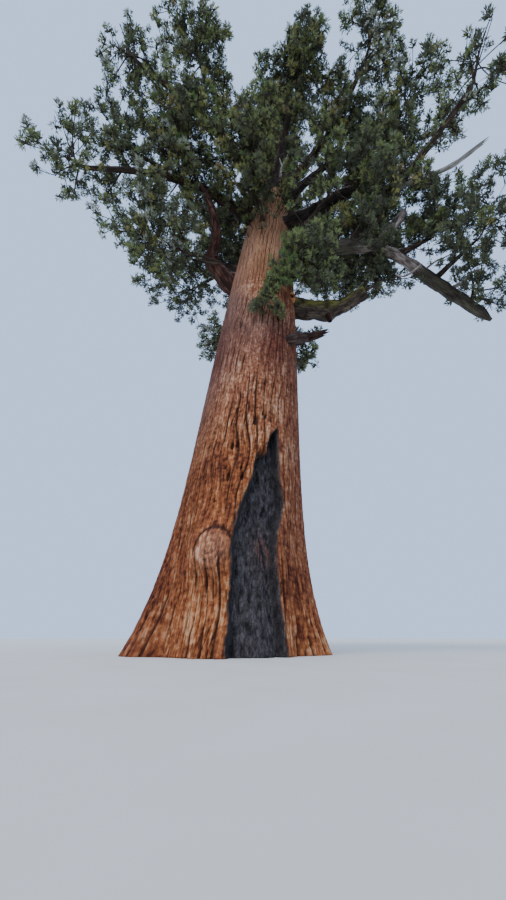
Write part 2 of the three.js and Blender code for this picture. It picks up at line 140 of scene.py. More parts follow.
@dataclass
class GrainSheet:
    """Smooth random values on a lattice of cells that closes on itself sideways and upward."""

    seed: int
    across: int
    along: int

    def __post_init__(self) -> None:
        """Fills the lattice."""
        self.values = np.random.default_rng(self.seed).random((self.along, self.across))

    def at(self, turn: np.ndarray, rise: np.ndarray) -> np.ndarray:
        """Args:
            turn: place round the sheet, 1 for a whole turn.
            rise: place up the sheet, 1 for its whole height.

        Returns: values between 0 and 1.
        """
        x = turn * self.across
        y = rise * self.along
        column = np.floor(x).astype(int)
        row = np.floor(y).astype(int)
        ease_x = smooth(x - column)
        ease_y = smooth(y - row)
        near, far = row % self.along, (row + 1) % self.along
        left, right = column % self.across, (column + 1) % self.across
        low = self.values[near, left] * (1 - ease_x) + self.values[near, right] * ease_x
        high = self.values[far, left] * (1 - ease_x) + self.values[far, right] * ease_x
        return low * (1 - ease_y) + high * ease_y


def smooth(x: np.ndarray) -> np.ndarray:
    """Returns: x eased from 0 to 1, held outside."""
    x = np.clip(x, 0, 1)
    return x * x * (3 - 2 * x)


def unit(v: np.ndarray) -> np.ndarray:
    """Returns: vectors of length 1 in the same directions, along the last axis."""
    return v / np.maximum(np.linalg.norm(v, axis=-1, keepdims=True), 1e-9)


def bell(x: np.ndarray, middle: float, spread: float) -> np.ndarray:
    """Returns: 1 where x is at the middle, falling away evenly to both sides."""
    return np.exp(-(((x - middle) / spread) ** 2))


def follow(x: np.ndarray, table: Table) -> np.ndarray:
    """Returns: values read off a table of rows (place, value), straight between its rows."""
    return np.interp(x, [row[0] for row in table], [row[1] for row in table])


def turn_from(degrees: float, bearing: np.ndarray) -> np.ndarray:
    """Returns: the turn from a bearing in degrees to others, between minus and plus half a turn."""
    return (bearing - math.radians(degrees) + 3 * math.pi) % (2 * math.pi) - math.pi


def compass(degrees: float) -> tuple[np.ndarray, np.ndarray]:
    """Args:
        degrees: a bearing.

    Returns: the level directions ahead along it and aside from it.
    """
    bearing = math.radians(degrees)
    ahead = np.array([math.cos(bearing), math.sin(bearing), 0])
    return ahead, np.array([-math.sin(bearing), math.cos(bearing), 0])


def paint(code: str) -> tuple[float, float, float, float]:
    """Args:
        code: an sRGB colour as six hex digits.

    Returns: the same colour in Blender's linear values, opaque.
    """
    parts = [int(code[i : i + 2], 16) / 255 for i in (0, 2, 4)]
    linear = [p / 12.92 if p <= 0.04045 else ((p + 0.055) / 1.055) ** 2.4 for p in parts]
    return (*linear, 1.0)


class Bench:
    """Where pieces are made: Blender's own operators, and meshes from arrays."""

    @staticmethod
    def clear() -> None:
        """Leaves edit mode and deselects everything."""
        if bpy.context.object and bpy.context.object.mode != "OBJECT":
            bpy.ops.object.mode_set(mode="OBJECT")
        bpy.ops.object.select_all(action="DESELECT")

    @staticmethod
    def hold(piece: Piece) -> None:
        """Makes a piece the only selected and active one.

        Args:
            piece: the piece.
        """
        Bench.clear()
        piece.select_set(True)
        bpy.context.view_layer.objects.active = piece

    @staticmethod
    def column(name: str, sides: int, heights: np.ndarray, radii: np.ndarray) -> Piece:
        """A closed upright column: a circle extruded ring by ring, widened or narrowed at each ring.

        Args:
            name: the piece's name.
            sides: corners of each ring.
            heights: the rings' heights.
            radii: the rings' radii.

        Returns: the piece.
        """
        Bench.clear()
        bpy.ops.mesh.primitive_circle_add(
            vertices=sides, radius=float(radii[0]), fill_type="NGON", location=(0, 0, float(heights[0]))
        )
        piece = bpy.context.object
        piece.name = name
        bpy.ops.object.transform_apply(location=True, rotation=True, scale=True)
        bpy.ops.object.mode_set(mode="EDIT")
        bpy.ops.mesh.select_all(action="SELECT")
        for i in range(1, len(heights)):
            step = float(heights[i] - heights[i - 1])
            share = float(radii[i] / radii[i - 1])
            bpy.ops.mesh.extrude_region_move(TRANSFORM_OT_translate={"value": (0, 0, step)})
            bpy.ops.transform.resize(value=(share, share, 1), center_override=(0, 0, float(heights[i])))
        bpy.ops.mesh.select_all(action="SELECT")
        bpy.ops.mesh.normals_make_consistent(inside=False)
        bpy.ops.object.mode_set(mode="OBJECT")
        return piece

    @staticmethod
    def refine(piece: Piece, levels: int) -> None:
        """Cuts every face finer, keeping its shape, with an applied modifier.

        Args:
            piece: the piece.
            levels: how many times each edge is halved.
        """
        Bench.hold(piece)
        cut = piece.modifiers.new("finer", "SUBSURF")
        cut.subdivision_type = "SIMPLE"
        cut.levels = levels
        cut.render_levels = levels
        bpy.ops.object.modifier_apply(modifier=cut.name)

    @staticmethod
    def corners(piece: Piece) -> np.ndarray:
        """Args:
            piece: the piece.

        Returns: its vertices, one row each.
        """
        flat = np.empty(len(piece.data.vertices) * 3)
        piece.data.vertices.foreach_get("co", flat)
        return flat.reshape(-1, 3)

    @staticmethod
    def place(piece: Piece, corners: np.ndarray) -> None:
        """Moves the piece's vertices to new places."""
        piece.data.vertices.foreach_set("co", corners.astype(np.float32).ravel())
        piece.data.update()

    @staticmethod
    def note(piece: Piece, **notes: np.ndarray) -> None:
        """Stores values or vectors at the vertices, for the materials to read.

        Args:
            piece: the piece.
            notes: one number or one row of three for each vertex, by the attribute's name.
        """
        for name, values in notes.items():
            kind, key = ("FLOAT", "value") if values.ndim == 1 else ("FLOAT_VECTOR", "vector")
            attribute = piece.data.attributes.new(name, kind, "POINT")
            attribute.data.foreach_set(key, values.astype(np.float32).ravel())

    @staticmethod
    def weave(name: str, corners: np.ndarray, faces: np.ndarray, rounded: bool) -> Piece:
        """Makes one joined piece from arrays.

        Args:
            name: the piece's name.
            corners: vertices, one row each.
            faces: vertex numbers, one row of three for each face.
            rounded: whether its faces are shaded smoothly.

        Returns: the piece.
        """
        mesh = bpy.data.meshes.new(name)
        count, sides = faces.shape
        mesh.vertices.add(len(corners))
        mesh.vertices.foreach_set("co", corners.astype(np.float32).ravel())
        mesh.loops.add(count * sides)
        mesh.loops.foreach_set("vertex_index", faces.astype(np.int32).ravel())
        mesh.polygons.add(count)
        mesh.polygons.foreach_set("loop_start", np.arange(count, dtype=np.int32) * sides)
        mesh.update(calc_edges=True)
        mesh.polygons.foreach_set("use_smooth", [rounded] * count)
        piece = bpy.data.objects.new(name, mesh)
        bpy.context.scene.collection.objects.link(piece)
        return piece

    @staticmethod
    def shade(piece: Piece, steepest: float = 0.99) -> None:
        """Shades an upright column smoothly, and flat where its faces look up or down."""
        for face in piece.data.polygons:
            face.use_smooth = abs(face.normal.z) < steepest

    @staticmethod
    def finish(piece: Piece, slot: str, materials: list[bpy.types.Material], *nodes: str) -> None:
        """Gives a piece its materials and its body, and hides the CAD nodes that it stands for.

        Args:
            piece: the piece.
            slot: not used.
            materials: its materials, in the order of its faces' numbers.
            nodes: the CAD nodes that it replaces.
        """
        for material in materials:
            piece.data.materials.append(material)
        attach(piece, "root")
        if nodes:
            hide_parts(*nodes)
        piece.data.calc_loop_triangles()
        log.info("%s: %d triangles", piece.name, len(piece.data.loop_triangles))


@dataclass
class Wiring:
    """A node tree filled by short calls."""

    tree: bpy.types.NodeTree

    def add(self, kind: str, inputs: dict | None = None, **settings: object) -> bpy.types.Node:
        """Adds a node.

        Args:
            kind: the node's type.
            inputs: a value or another node's socket for each input, by name or number.
            settings: the node's own properties.

        Returns: the node.
        """
        node = self.tree.nodes.new(kind)
        for key, value in settings.items():
            setattr(node, key, value)
        for key, value in (inputs or {}).items():
            if isinstance(value, Socket):
                self.tree.links.new(value, node.inputs[key])
            else:
                node.inputs[key].default_value = value
        return node

    def read(self, name: str, output: str = "Fac") -> Socket:
        """Returns: an output of the node that reads a vertex attribute."""
        return self.add("ShaderNodeAttribute", attribute_name=name).outputs[output]

    def noise(self, place: Socket, scale: float, detail: float) -> Socket:
        """Returns: a noise pattern's value at a place."""
        inputs = {"Vector": place, "Scale": scale, "Detail": detail}
        return self.add("ShaderNodeTexNoise", inputs).outputs["Fac"]

    def ramp(self, value: Socket, stops: list[tuple[float, str]]) -> Socket:
        """Args:
            value: what runs along the ramp.
            stops: places and their sRGB colours.

        Returns: the ramp's colour.
        """
        node = self.add("ShaderNodeValToRGB", {"Fac": value})
        elements = node.color_ramp.elements
        while len(elements) < len(stops):
            elements.new(0.5)
        for element, (place, code) in zip(elements, stops):
            element.position = place
            element.color = paint(code)
        return node.outputs["Color"]

    def mix(self, share: Value, low: Colour, high: Colour) -> Socket:
        """Args:
            share: how much of the second colour, a value or a socket.
            low: the first colour.
            high: the second colour.

        Returns: the mixed colour.
        """
        return self.add("ShaderNodeMix", {0: share, 6: low, 7: high}, data_type="RGBA").outputs[2]

    def fit(self, value: Socket, low: float, high: float, most: float = 1.0) -> Socket:
        """Returns: the value eased from 0 at low to most at high."""
        inputs = {"Value": value, "From Min": low, "From Max": high, "To Max": most}
        return self.add("ShaderNodeMapRange", inputs, interpolation_type="SMOOTHSTEP").outputs[0]

    def tinge(self, share: Value, colour: Colour, code: str) -> Socket:
        """Returns: the colour multiplied by a tone, as strongly as the share says."""
        inputs = {0: share, 6: colour, 7: paint(code)}
        return self.add("ShaderNodeMix", inputs, data_type="RGBA", blend_type="MULTIPLY").outputs[2]

    def between(self, share: Value, low: Value, high: Value) -> Socket:
        """Returns: a value between two others."""
        return self.add("ShaderNodeMix", {0: share, 2: low, 3: high}, data_type="FLOAT").outputs[0]

    def cells(self, place: Socket, scale: float) -> Socket:
        """Returns: the distance to the nearest edge of a pattern of irregular cells."""
        node = self.add("ShaderNodeTexVoronoi", {"Vector": place, "Scale": scale}, feature="DISTANCE_TO_EDGE")
        return node.outputs["Distance"]

    def stretch(self, place: Socket, squeeze: Row | Socket) -> Socket:
        """Returns: a place multiplied along each axis; less than 1 draws the pattern out."""
        return self.add("ShaderNodeVectorMath", {0: place, 1: squeeze}, operation="MULTIPLY").outputs[0]

    def rise(self, vector: Socket) -> Socket:
        """Returns: the upward part of a place or a direction."""
        return self.add("ShaderNodeSeparateXYZ", {0: vector}).outputs["Z"]

    def maths(self, operation: str, a: Value, b: Value) -> Socket:
        """Returns: the result of an operation on two values."""
        return self.add("ShaderNodeMath", {0: a, 1: b}, operation=operation).outputs[0]

    def times(self, a: Value, b: Value) -> Socket:
        """Returns: the product of two values."""
        return self.maths("MULTIPLY", a, b)

    def plus(self, a: Value, b: Value) -> Socket:
        """Returns: the sum of two values."""
        return self.maths("ADD", a, b)

    def less(self, a: Value, b: Value) -> Socket:
        """Returns: the first value less the second."""
        return self.maths("SUBTRACT", a, b)

    def surface(
        self, shader: bpy.types.Node, colour: Socket, height: Socket, tall: float, strong: float
    ) -> None:
        """Gives a shader its colour and its bump.

        Args:
            shader: the material's shader.
            colour: its colour.
            height: its relief, from 0 to 1.
            tall: the relief's height in metres.
            strong: the bump's strength.
        """
        self.tree.links.new(colour, shader.inputs["Base Color"])
        bump = self.add("ShaderNodeBump", {"Height": height, "Distance": tall, "Strength": strong})
        self.tree.links.new(bump.outputs[0], shader.inputs["Normal"])


class FibreGroup:
    """The effect that all bark and bare wood shares: long fibres that run with the grain."""

    NAME = "wood fibres"

    @staticmethod
    def tree() -> bpy.types.NodeTree:
        """Returns: the node group, built once."""
        found = bpy.data.node_groups.get(FibreGroup.NAME)
        if found:
            return found
        group = bpy.data.node_groups.new(FibreGroup.NAME, "ShaderNodeTree")
        ports = {"Place": "NodeSocketVector", "Fineness": "NodeSocketFloat", "Stretch": "NodeSocketFloat"}
        for name, kind in ports.items():
            group.interface.new_socket(name=name, in_out="INPUT", socket_type=kind)
        for name in ("Fibre", "Relief", "Crack"):
            group.interface.new_socket(name=name, in_out="OUTPUT", socket_type="NodeSocketFloat")
        wires = Wiring(group)
        entry = wires.add("NodeGroupInput").outputs
        along = wires.maths("DIVIDE", entry["Fineness"], entry["Stretch"])
        axes = {"X": entry["Fineness"], "Y": entry["Fineness"], "Z": along}
        place = wires.stretch(entry["Place"], wires.add("ShaderNodeCombineXYZ", axes).outputs[0])
        coarse = wires.noise(place, 0.7, 4.0)
        fine = wires.noise(place, 1.9, 3.0)
        fibre = wires.plus(wires.times(coarse, 0.5), wires.times(fine, 0.5))
        sharp = wires.fit(fibre, 0.35, 0.65)
        crack = wires.fit(wires.noise(place, 1.5, 3.0), 0.41, 0.33)
        wires.add("NodeGroupOutput", {"Fibre": fibre, "Relief": sharp, "Crack": crack})
        return group

    @staticmethod
    def use(wires: Wiring, fineness: float, stretch: float) -> tuple[Socket, Socket, Socket]:
        """Places the group in a material.

        Args:
            wires: the material's wiring.
            fineness: fibres to a metre.
            stretch: how much longer than wide they are.

        Returns: the fibre pattern, its height and its cracks.
        """
        node = wires.add("ShaderNodeGroup")
        node.node_tree = FibreGroup.tree()
        wires.tree.links.new(wires.read("grain", "Vector"), node.inputs["Place"])
        node.inputs["Fineness"].default_value = fineness
        node.inputs["Stretch"].default_value = stretch
        return node.outputs["Fibre"], node.outputs["Relief"], node.outputs["Crack"]


def new_material(name: str, roughness: float) -> tuple[bpy.types.Material, Wiring, bpy.types.Node]:
    """Args:
        name: the material's name.
        roughness: its even roughness.

    Returns: the material, its wiring and its shader.
    """
    material = bpy.data.materials.new(name)
    material.use_nodes = True
    shader = next(n for n in material.node_tree.nodes if n.type == "BSDF_PRINCIPLED")
    shader.inputs["Roughness"].default_value = roughness
    shader.inputs["Specular IOR Level"].default_value = 0.25
    return material, Wiring(material.node_tree), shader


@dataclass(frozen=True)
class TrunkBark:
    """Cinnamon bark with dark furrows, greyer higher up and at the left, charred inside the scar. Painted
    shade darkens the furrows along with their own darker colour, the right side, a patch below the snag and
    the scar's walls; painted light brightens the bark high up along with its own paler colour, most on the
    front.
    """

    # furrow colour: the bark's own darker colour and painted shade in the furrows, cracks, pits and creases
    furrow: str = "32170e"
    deep: str = "4f2517"
    cinnamon: str = "8f5438"
    orange: str = "b87a53"
    pale: str = "dbb094"
    veil: str = "a0867a"
    # paler bark high up: partly its own colour, partly painted light against the foliage's shadow
    high: str = "e0a880"
    # darker red of the right side: painted shade
    red: str = "5a2a1f"
    warm: str = "e6d0b0"
    dim: str = "a58684"
    char_low: str = "1f1b1b"
    char_high: str = "5c5555"
    char_joint: str = "141212"
    ember: str = "6a3d2b"
    fibres: float = 11.0
    fibre_length: float = 8.0
    high_from: float = 14.5
    high_full: float = 18.0
    char_blocks: float = 9.0
    bump: float = 0.04

    def make(self) -> bpy.types.Material:
        """Returns: the material."""
        material, wires, shader = new_material("trunk bark", 0.9)
        place = wires.read("grain", "Vector")
        fibre, relief, crack = FibreGroup.use(wires, self.fibres, self.fibre_length)
        grit = wires.times(wires.noise(place, 8.0, 2.0), 0.45)
        crumb = wires.plus(wires.times(wires.noise(place, 0.5, 4.0), 0.35), grit)
        tone = wires.plus(fibre, wires.less(crumb, 0.4))
        stops = [(0.33, self.deep), (0.44, self.cinnamon), (0.55, self.orange), (0.66, self.pale)]
        colour = wires.ramp(tone, stops)
        colour = wires.mix(wires.times(wires.read("veil"), 0.55), colour, paint(self.veil))
        # paler higher up: partly the bark's own colour, partly painted light
        aloft = wires.fit(wires.rise(place), self.high_from, self.high_full, 0.55)
        colour = wires.mix(aloft, colour, paint(self.high))
        # painted shade: darker red on the right side
        colour = wires.mix(wires.times(wires.read("red"), 0.45), colour, paint(self.red))
        colour = wires.mix(wires.read("pale"), colour, paint(self.pale))
        # warmer low down, and in the patch of painted light high on the front
        colour = wires.tinge(wires.read("warm"), colour, self.warm)
        # darker in a band, on the left flank and in the painted shadow below the snag
        colour = wires.tinge(wires.read("dim"), colour, self.dim)
        # painted shade, with the bark's own darker colour, in the furrows, cracks, pits and creases
        furrow = wires.fit(wires.read("furrow"), 0.15, 0.9, 0.9)
        cleft_shade = wires.maths("MAXIMUM", wires.times(crack, 0.4), furrow)
        colour = wires.mix(cleft_shade, colour, paint(self.furrow))
        solid = wires.add("ShaderNodeTexCoord").outputs["Object"]
        mottle = wires.noise(wires.stretch(solid, (1.0, 1.0, 0.45)), 8.0, 6.0)
        block = wires.fit(wires.cells(wires.stretch(solid, (1.0, 1.0, 0.6)), self.char_blocks), 0.0, 0.12)
        burnt = self.burnt(wires, mottle, block)
        char = wires.read("char")
        colour = wires.mix(char, colour, burnt)
        height = wires.less(relief, wires.times(crack, 0.6))
        height = wires.between(char, height, wires.plus(wires.times(block, 0.35), mottle))
        wires.surface(shader, colour, height, self.bump, 1.0)
        return material

    def burnt(self, wires: Wiring, mottle: Socket, block: Socket) -> Socket:
        """Args:
            wires: the material's wiring.
            mottle: uneven light and dark.
            block: 0 in the joints between blocks of char, 1 on the blocks.

        Returns: the colour of the burnt wood, with painted shade on the hollow's steep walls.
        """
        colour = wires.ramp(mottle, [(0.34, self.char_low), (0.72, self.char_high)])
        colour = wires.mix(wires.times(wires.less(1.0, block), 0.3), colour, paint(self.char_joint))
        glow = wires.times(wires.read("ember"), wires.fit(mottle, 0.47, 0.6, 0.75))
        colour = wires.mix(glow, colour, paint(self.ember))
        # painted shade on the scar's steep walls
        return wires.mix(wires.times(wires.read("wall"), 0.7), colour, paint(self.char_low))


@dataclass(frozen=True)
class LimbBark:
    """Bark of a limb: fibrous, darker in its cracks and furrows, partly with painted shade, with a weathered
    or mossy upper side that is partly a painted highlight, and with moss and painted shade along the lengths
    that the limb's table gives.
    """

    name: str
    dark: str
    middle: str
    light: str
    top: str
    topping: float = 0.5
    top_from: float = -0.1
    # colours of moss and painted shade
    dusk_low: str = "15120e"
    dusk_high: str = "46432f"
    fibres: float = 9.0
    fibre_length: float = 7.0
    bump: float = 0.02

    def make(self) -> bpy.types.Material:
        """Returns: the material."""
        material, wires, shader = new_material(self.name, 0.9)
        fibre, relief, crack = FibreGroup.use(wires, self.fibres, self.fibre_length)
        colour = wires.ramp(fibre, [(0.34, self.dark), (0.5, self.middle), (0.66, self.light)])
        # lighter upper side: weathering and moss, and partly a painted highlight where light falls from above
        facing = wires.rise(wires.add("ShaderNodeNewGeometry").outputs["Normal"])
        patch = wires.fit(wires.noise(wires.read("grain", "Vector"), 2.2, 3.0), 0.35, 0.6)
        upper = wires.times(wires.fit(facing, self.top_from, self.top_from + 0.85, self.topping), patch)
        colour = wires.mix(upper, colour, paint(self.top))
        # moss and painted shade where the limb's table says
        dusk = wires.ramp(fibre, [(0.36, self.dusk_low), (0.66, self.dusk_high)])
        colour = wires.mix(wires.times(wires.read("dusk"), 0.9), colour, dusk)
        # cracks and furrows darker: partly the bark's own colour, partly painted shade
        furrow = wires.fit(wires.read("furrow"), 0.3, 1.0, 0.8)
        colour = wires.mix(wires.maths("MAXIMUM", wires.times(crack, 0.5), furrow), colour, paint(self.dark))
        wires.surface(shader, colour, relief, self.bump, 0.8)
        return material


@dataclass(frozen=True)
class LeafGreen:
    """One plain tint of the scale leaves."""

    tint: Tint

    def make(self) -> bpy.types.Material:
        """Returns: the material."""
        material, _, shader = new_material(f"leaves {self.tint.name.lower()}", 0.65)
        shader.inputs["Base Color"].default_value = paint(self.tint.value)
        return material


WOODS = {
    Wood.LIVING: LimbBark("limb bark", "1e1613", "43352c", "6b5a4d", "8a8176"),
    Wood.RED: LimbBark("red limb bark", "1f110e", "4a2d24", "7d5a4b", "b5a398", topping=0.8),
    Wood.MOSSY: LimbBark("mossy limb bark", "1b1512", "453930", "6f6152", "85803f", 0.95, top_from=-0.75),
    Wood.PALE: LimbBark("pale limb bark", "463c35", "93847a", "c4b8ae", "ddd7ce", topping=0.9),
    Wood.SHADED: LimbBark("shaded limb bark", "15100d", "352b25", "524539", "bdb2a3", topping=0.95),
    Wood.DEAD: LimbBark("dead wood", "1a100c", "3f2a23", "64503f", "7c7067", topping=0.5),
    Wood.BLEACHED: LimbBark("bleached wood", "5a544c", "9a9389", "c4beb3", "d8d4ca", topping=0.8),
    Wood.KNOT: LimbBark("broken knot", "140c09", "b06c42", "d3a176", "a08a78", topping=0.4),
}


@dataclass(frozen=True)
class Swelling:
    """A round swelling: its middle, half its height in metres and half its width in degrees."""

    height: float
    bearing: float
    up: float
    round: float

    def away(self, height: np.ndarray, bearing: np.ndarray) -> np.ndarray:
        """Returns: how far places on the skin lie from its middle, 1 near its edge."""
        turned = turn_from(self.bearing, bearing) / math.radians(self.round)
        return np.hypot((height - self.height) / self.up, turned)


@dataclass(frozen=True)
class TrunkShape:
    """The trunk's sizes, as in the CAD source, and the round knob on its burl."""

    height: float = 36.4
    lean: float = 0.0775
    column_radius: float = 2.15
    taper_power: float = 1.18
    flare_radius: float = 0.7
    flare_height: float = 2.2
    flute_height: float = 3.2
    flutes: Table = ((5, 0.075, 0.6), (8, 0.045, 2.1))
    burl: Swelling = Swelling(2.75, -105.0, 0.85, 21.0)
    burl_reach: float = 0.3
    knob: Swelling = Swelling(2.62, -103.0, 0.6, 12.0)

    def axis(self, height: Reals) -> np.ndarray:
        """Returns: points on the trunk's centre line."""
        height = np.asarray(height, float)
        return np.stack([self.lean * height, 0 * height, height], axis=-1)

    def radius(self, height: Reals) -> Reals:
        """Returns: the mean radius at a height."""
        column = self.column_radius * (1 - (height / TREE_HEIGHT) ** 2) ** self.taper_power
        return column + self.flare_radius * np.exp(-height / self.flare_height)

    def skin(self, height: np.ndarray, bearing: np.ndarray) -> np.ndarray:
        """Args:
            height: heights.
            bearing: bearings there.

        Returns: the skin's radius, with root flutes and the burl.
        """
        fade = np.exp(-height / self.flute_height)
        radius = self.radius(height)
        for lobes, depth, turn in self.flutes:
            radius = radius * (1 + depth * fade * np.cos(lobes * bearing + turn))
        return radius + self.burl_reach * np.exp(-(self.burl.away(height, bearing) ** 3))


TRUNK = TrunkShape()


@dataclass(frozen=True)
class FireScar:
    """The burnt hollow in the front of the foot, by its two edges as (x, height)."""

    depth: float = 0.38
    wall: float = 0.09
    lip: float = 0.14
    apex: Row = (1.7, 7.25)
    left: Table = (
        (1.56, 6.98), (1.41, 6.76), (1.31, 6.32), (1.25, 6.02), (0.99, 5.98), (0.93, 5.79), (0.87, 5.55),
        (0.76, 5.03), (0.64, 4.66), (0.49, 4.27), (0.37, 3.87), (0.29, 3.39), (0.2, 2.99), (0.14, 2.78),
        (0.17, 1.8), (0.12, -0.2),
    )
    right: Table = (
        (1.7, 7.07), (1.69, 6.04), (1.66, 5.33), (1.74, 4.81), (1.77, 4.29), (1.7, 3.93), (1.61, 3.45),
        (1.53, 3.25), (1.48, 2.81), (1.49, 2.37), (1.56, 1.2), (1.72, -0.2),
    )
    ember: Row = (1.22, 2.7)
    ember_wide: float = 0.28
    ember_tall: float = 0.5

    def edge(self, side: Table, z: np.ndarray) -> np.ndarray:
        """Returns: how far across one edge runs at heights."""
        return follow(-z, tuple((-height, across) for across, height in (self.apex, *side)))

    def inside(self, at: np.ndarray, torn: np.ndarray, even: np.ndarray) -> np.ndarray:
        """Args:
            at: points on the skin, one row each.
            torn: how far the torn left edge strays.
            even: how far the right edge strays.

        Returns: how far points lie inside the outline, sideways, negative outside or behind.
        """
        x, y, z = at.T
        span = np.minimum(x - self.edge(self.left, z) + torn, self.edge(self.right, z) - x + even)
        return np.where((z > self.apex[1]) | (y >= 0), -1.0, span)

    def glow(self, at: np.ndarray) -> np.ndarray:
        """Returns: how near points lie to the browner patch in the hollow, 1 at its middle."""
        across = (at[:, 0] - self.ember[0]) / self.ember_wide
        return np.exp(-(across**2) - ((at[:, 2] - self.ember[1]) / self.ember_tall) ** 2)


@dataclass(frozen=True)
class Relief:
    """One layer of furrows that wander up the trunk."""

    lines: int
    wander: float
    cells: int
    depth: float
    width: float


@dataclass(frozen=True)
class Zone:
    """A patch of the bark that fades round its middle; a size that is left out doesn't fade."""

    bearing: float = 0.0
    turn: float = math.inf
    height: float = 0.0
    tall: float = math.inf

    def share(self, bearing: np.ndarray, height: np.ndarray) -> np.ndarray:
        """Returns: 1 at the patch's middle, less around it."""
        turned = turn_from(self.bearing, bearing) / self.turn
        return np.exp(-(turned**2) - ((height - self.height) / self.tall) ** 2)


@dataclass
class Marks:
    """Patterns on a stretch of the trunk's skin, which its shape and its colours both follow."""

    bearing: np.ndarray
    height: np.ndarray
    turn: np.ndarray
    rise: np.ndarray
    side: np.ndarray
    blotch: np.ndarray
    strength: np.ndarray
    swell: np.ndarray
    arcs: np.ndarray
    crease: np.ndarray
    cuts: list[np.ndarray]
    specks: np.ndarray
    pit: np.ndarray


@dataclass
class TrunkPiece:
    """The trunk, in two lengths whose ends are tucked into each other."""

    shape: TrunkShape
    scar: FireScar
    sides: int = 75
    finer: int = 3
    rows: int = 20
    split: float = 9.0
    rise_packing: float = 1.1
    overlap: float = 0.12
    tuck: float = 0.03
    layers: tuple[Relief, ...] = (
        Relief(44, 1.15, 20, 0.09, 0.32),
        Relief(97, 1.5, 46, 0.055, 0.4),
        Relief(163, 1.9, 100, 0.035, 0.5),
    )
    knob_reach: float = 0.08
    arc_reach: float = 0.02
    pit_depth: float = 0.12
    speck_depth: float = 0.04
    crease_depth: float = 0.06
    lip_reach: float = 0.06
    char_rough: float = 0.07
    char_chips: float = 0.03
    char_lines: float = 0.04
    scar_pit_depth: float = 0.16
    pits: Table = (
        (-80.6, 7.31, 2.5, 0.2), (-70.7, 7.54, 1.4, 0.13), (-74.5, 7.62, 1.0, 0.1),
        (-103.9, 5.4, 1.2, 0.1), (-90.3, 5.37, 1.2, 0.1), (-100.8, 5.05, 1.7, 0.18),
        (-88.6, 5.04, 1.5, 0.13), (-101.1, 6.2, 1.8, 0.15), (-96.0, 6.25, 1.6, 0.13),
        (-60.0, 13.2, 2.0, 0.2), (-112.0, 12.5, 1.6, 0.2),
    )
    scar_pits: Table = ((-73.3, 5.15, 2.6, 0.32), (-79.6, 3.87, 1.8, 0.14), (-65.0, 3.93, 1.8, 0.16))
    # the right side, made darker red and less warm: painted shade
    right_side: Zone = Zone(-22.0, 0.62)
    left_side: Zone = Zone(-160.0, 0.55)
    flank: Zone = Zone(-150.0, 0.5)
    # painted shadow below the snag
    painted_snag_shadow: Zone = Zone(-66.0, 0.3, 11.3, 1.2)
    # painted light on the front, high up, against the foliage's shadow
    painted_light: Zone = Zone(-88.0, 0.4, 17.3, 2.6)
    band: Zone = Zone(height=11.6, tall=2.4)
    greyed: Zone = Zone(height=13.5, tall=2.5)

    def __post_init__(self) -> None:
        """Makes the patterns that both lengths share."""
        self.sway = GrainSheet(11, 7, 9)
        self.warp = GrainSheet(16, 24, 34)
        self.sheets = [GrainSheet(12 + k, row.lines // 4, row.cells) for k, row in enumerate(self.layers)]
        self.chips = GrainSheet(24, 190, 300)
        self.specks = GrainSheet(25, 150, 190)
        self.blotch = GrainSheet(26, 13, 22)

    def spots(self, places: Table, bearing: np.ndarray, height: np.ndarray) -> np.ndarray:
        """Returns: how deep points lie in any of some pits, 1 at a middle.

        Args:
            places: bearing in degrees, height, half width in degrees and half height of each pit.
            bearing: the points' bearings.
            height: their heights.
        """
        depth = np.zeros_like(height)
        uneven = 1 + 1.2 * (self.warp.at(bearing * 3, height * 0.35) - 0.4)
        for degrees, middle, wide, tall in places:
            gone = (turn_from(degrees, bearing) / math.radians(wide)) ** 2 + ((height - middle) / tall) ** 2
            depth = np.maximum(depth, np.exp(-((gone * uneven) ** 2)))
        return depth

    def mark(self, bearing: np.ndarray, height: np.ndarray) -> Marks:
        """Args:
            bearing: bearings of points on the skin.
            height: their heights.

        Returns: the patterns there.
        """
        turn = bearing / (2 * math.pi) + 0.5
        rise = height / TREE_HEIGHT
        away = self.shape.knob.away(height, bearing)
        swell = np.exp(-(away**4))
        arcs = np.sin(20 * away + 9 * self.warp.at(turn * 3, rise * 2)) * swell
        crease = bell(away, 1.12, 0.1) * smooth((height - self.shape.knob.height + 0.3) / 0.4)
        crease = crease * (0.5 + self.warp.at(turn * 2, rise * 2))
        blotch = self.blotch.at(turn, rise)
        strength = (0.4 + 0.6 * np.exp(-height / 10.0)) * (0.6 + 0.8 * blotch) * (1 - 0.75 * swell)
        side = turn + 0.045 * (self.sway.at(turn, rise) - 0.5) + 0.009 * (self.warp.at(turn, rise) - 0.5)
        cuts = []
        for layer, sheet in zip(self.layers, self.sheets):
            phase = side * layer.lines + layer.wander * sheet.at(side, rise)
            line = smooth(1 - (1 - np.abs(2 * (phase % 1.0) - 1)) / layer.width)
            held = smooth((sheet.at(side * 2 + 0.3, rise * 2) - 0.28) / 0.36)
            cuts.append(line * (0.1 + 0.9 * held))
        specks = smooth((self.specks.at(turn, rise) - 0.91) / 0.06)
        pit = self.spots(self.pits, bearing, height)
        return Marks(
            bearing, height, turn, rise, side, blotch, strength, swell, arcs, crease, cuts, specks, pit
        )

    def bark(self, marks: Marks) -> np.ndarray:
        """Args:
            marks: the patterns at some points.

        Returns: how far the bark stands out from the plain skin.
        """
        offset = 0.03 + 0.02 * (self.chips.at(marks.turn, marks.rise) - 0.5)
        for layer, cut in zip(self.layers, marks.cuts):
            offset = offset - layer.depth * cut * marks.strength
        raised = self.knob_reach * marks.swell + self.arc_reach * marks.arcs
        sunk = raised - self.pit_depth * marks.pit - self.speck_depth * marks.specks
        return offset + (sunk - self.crease_depth * marks.crease)

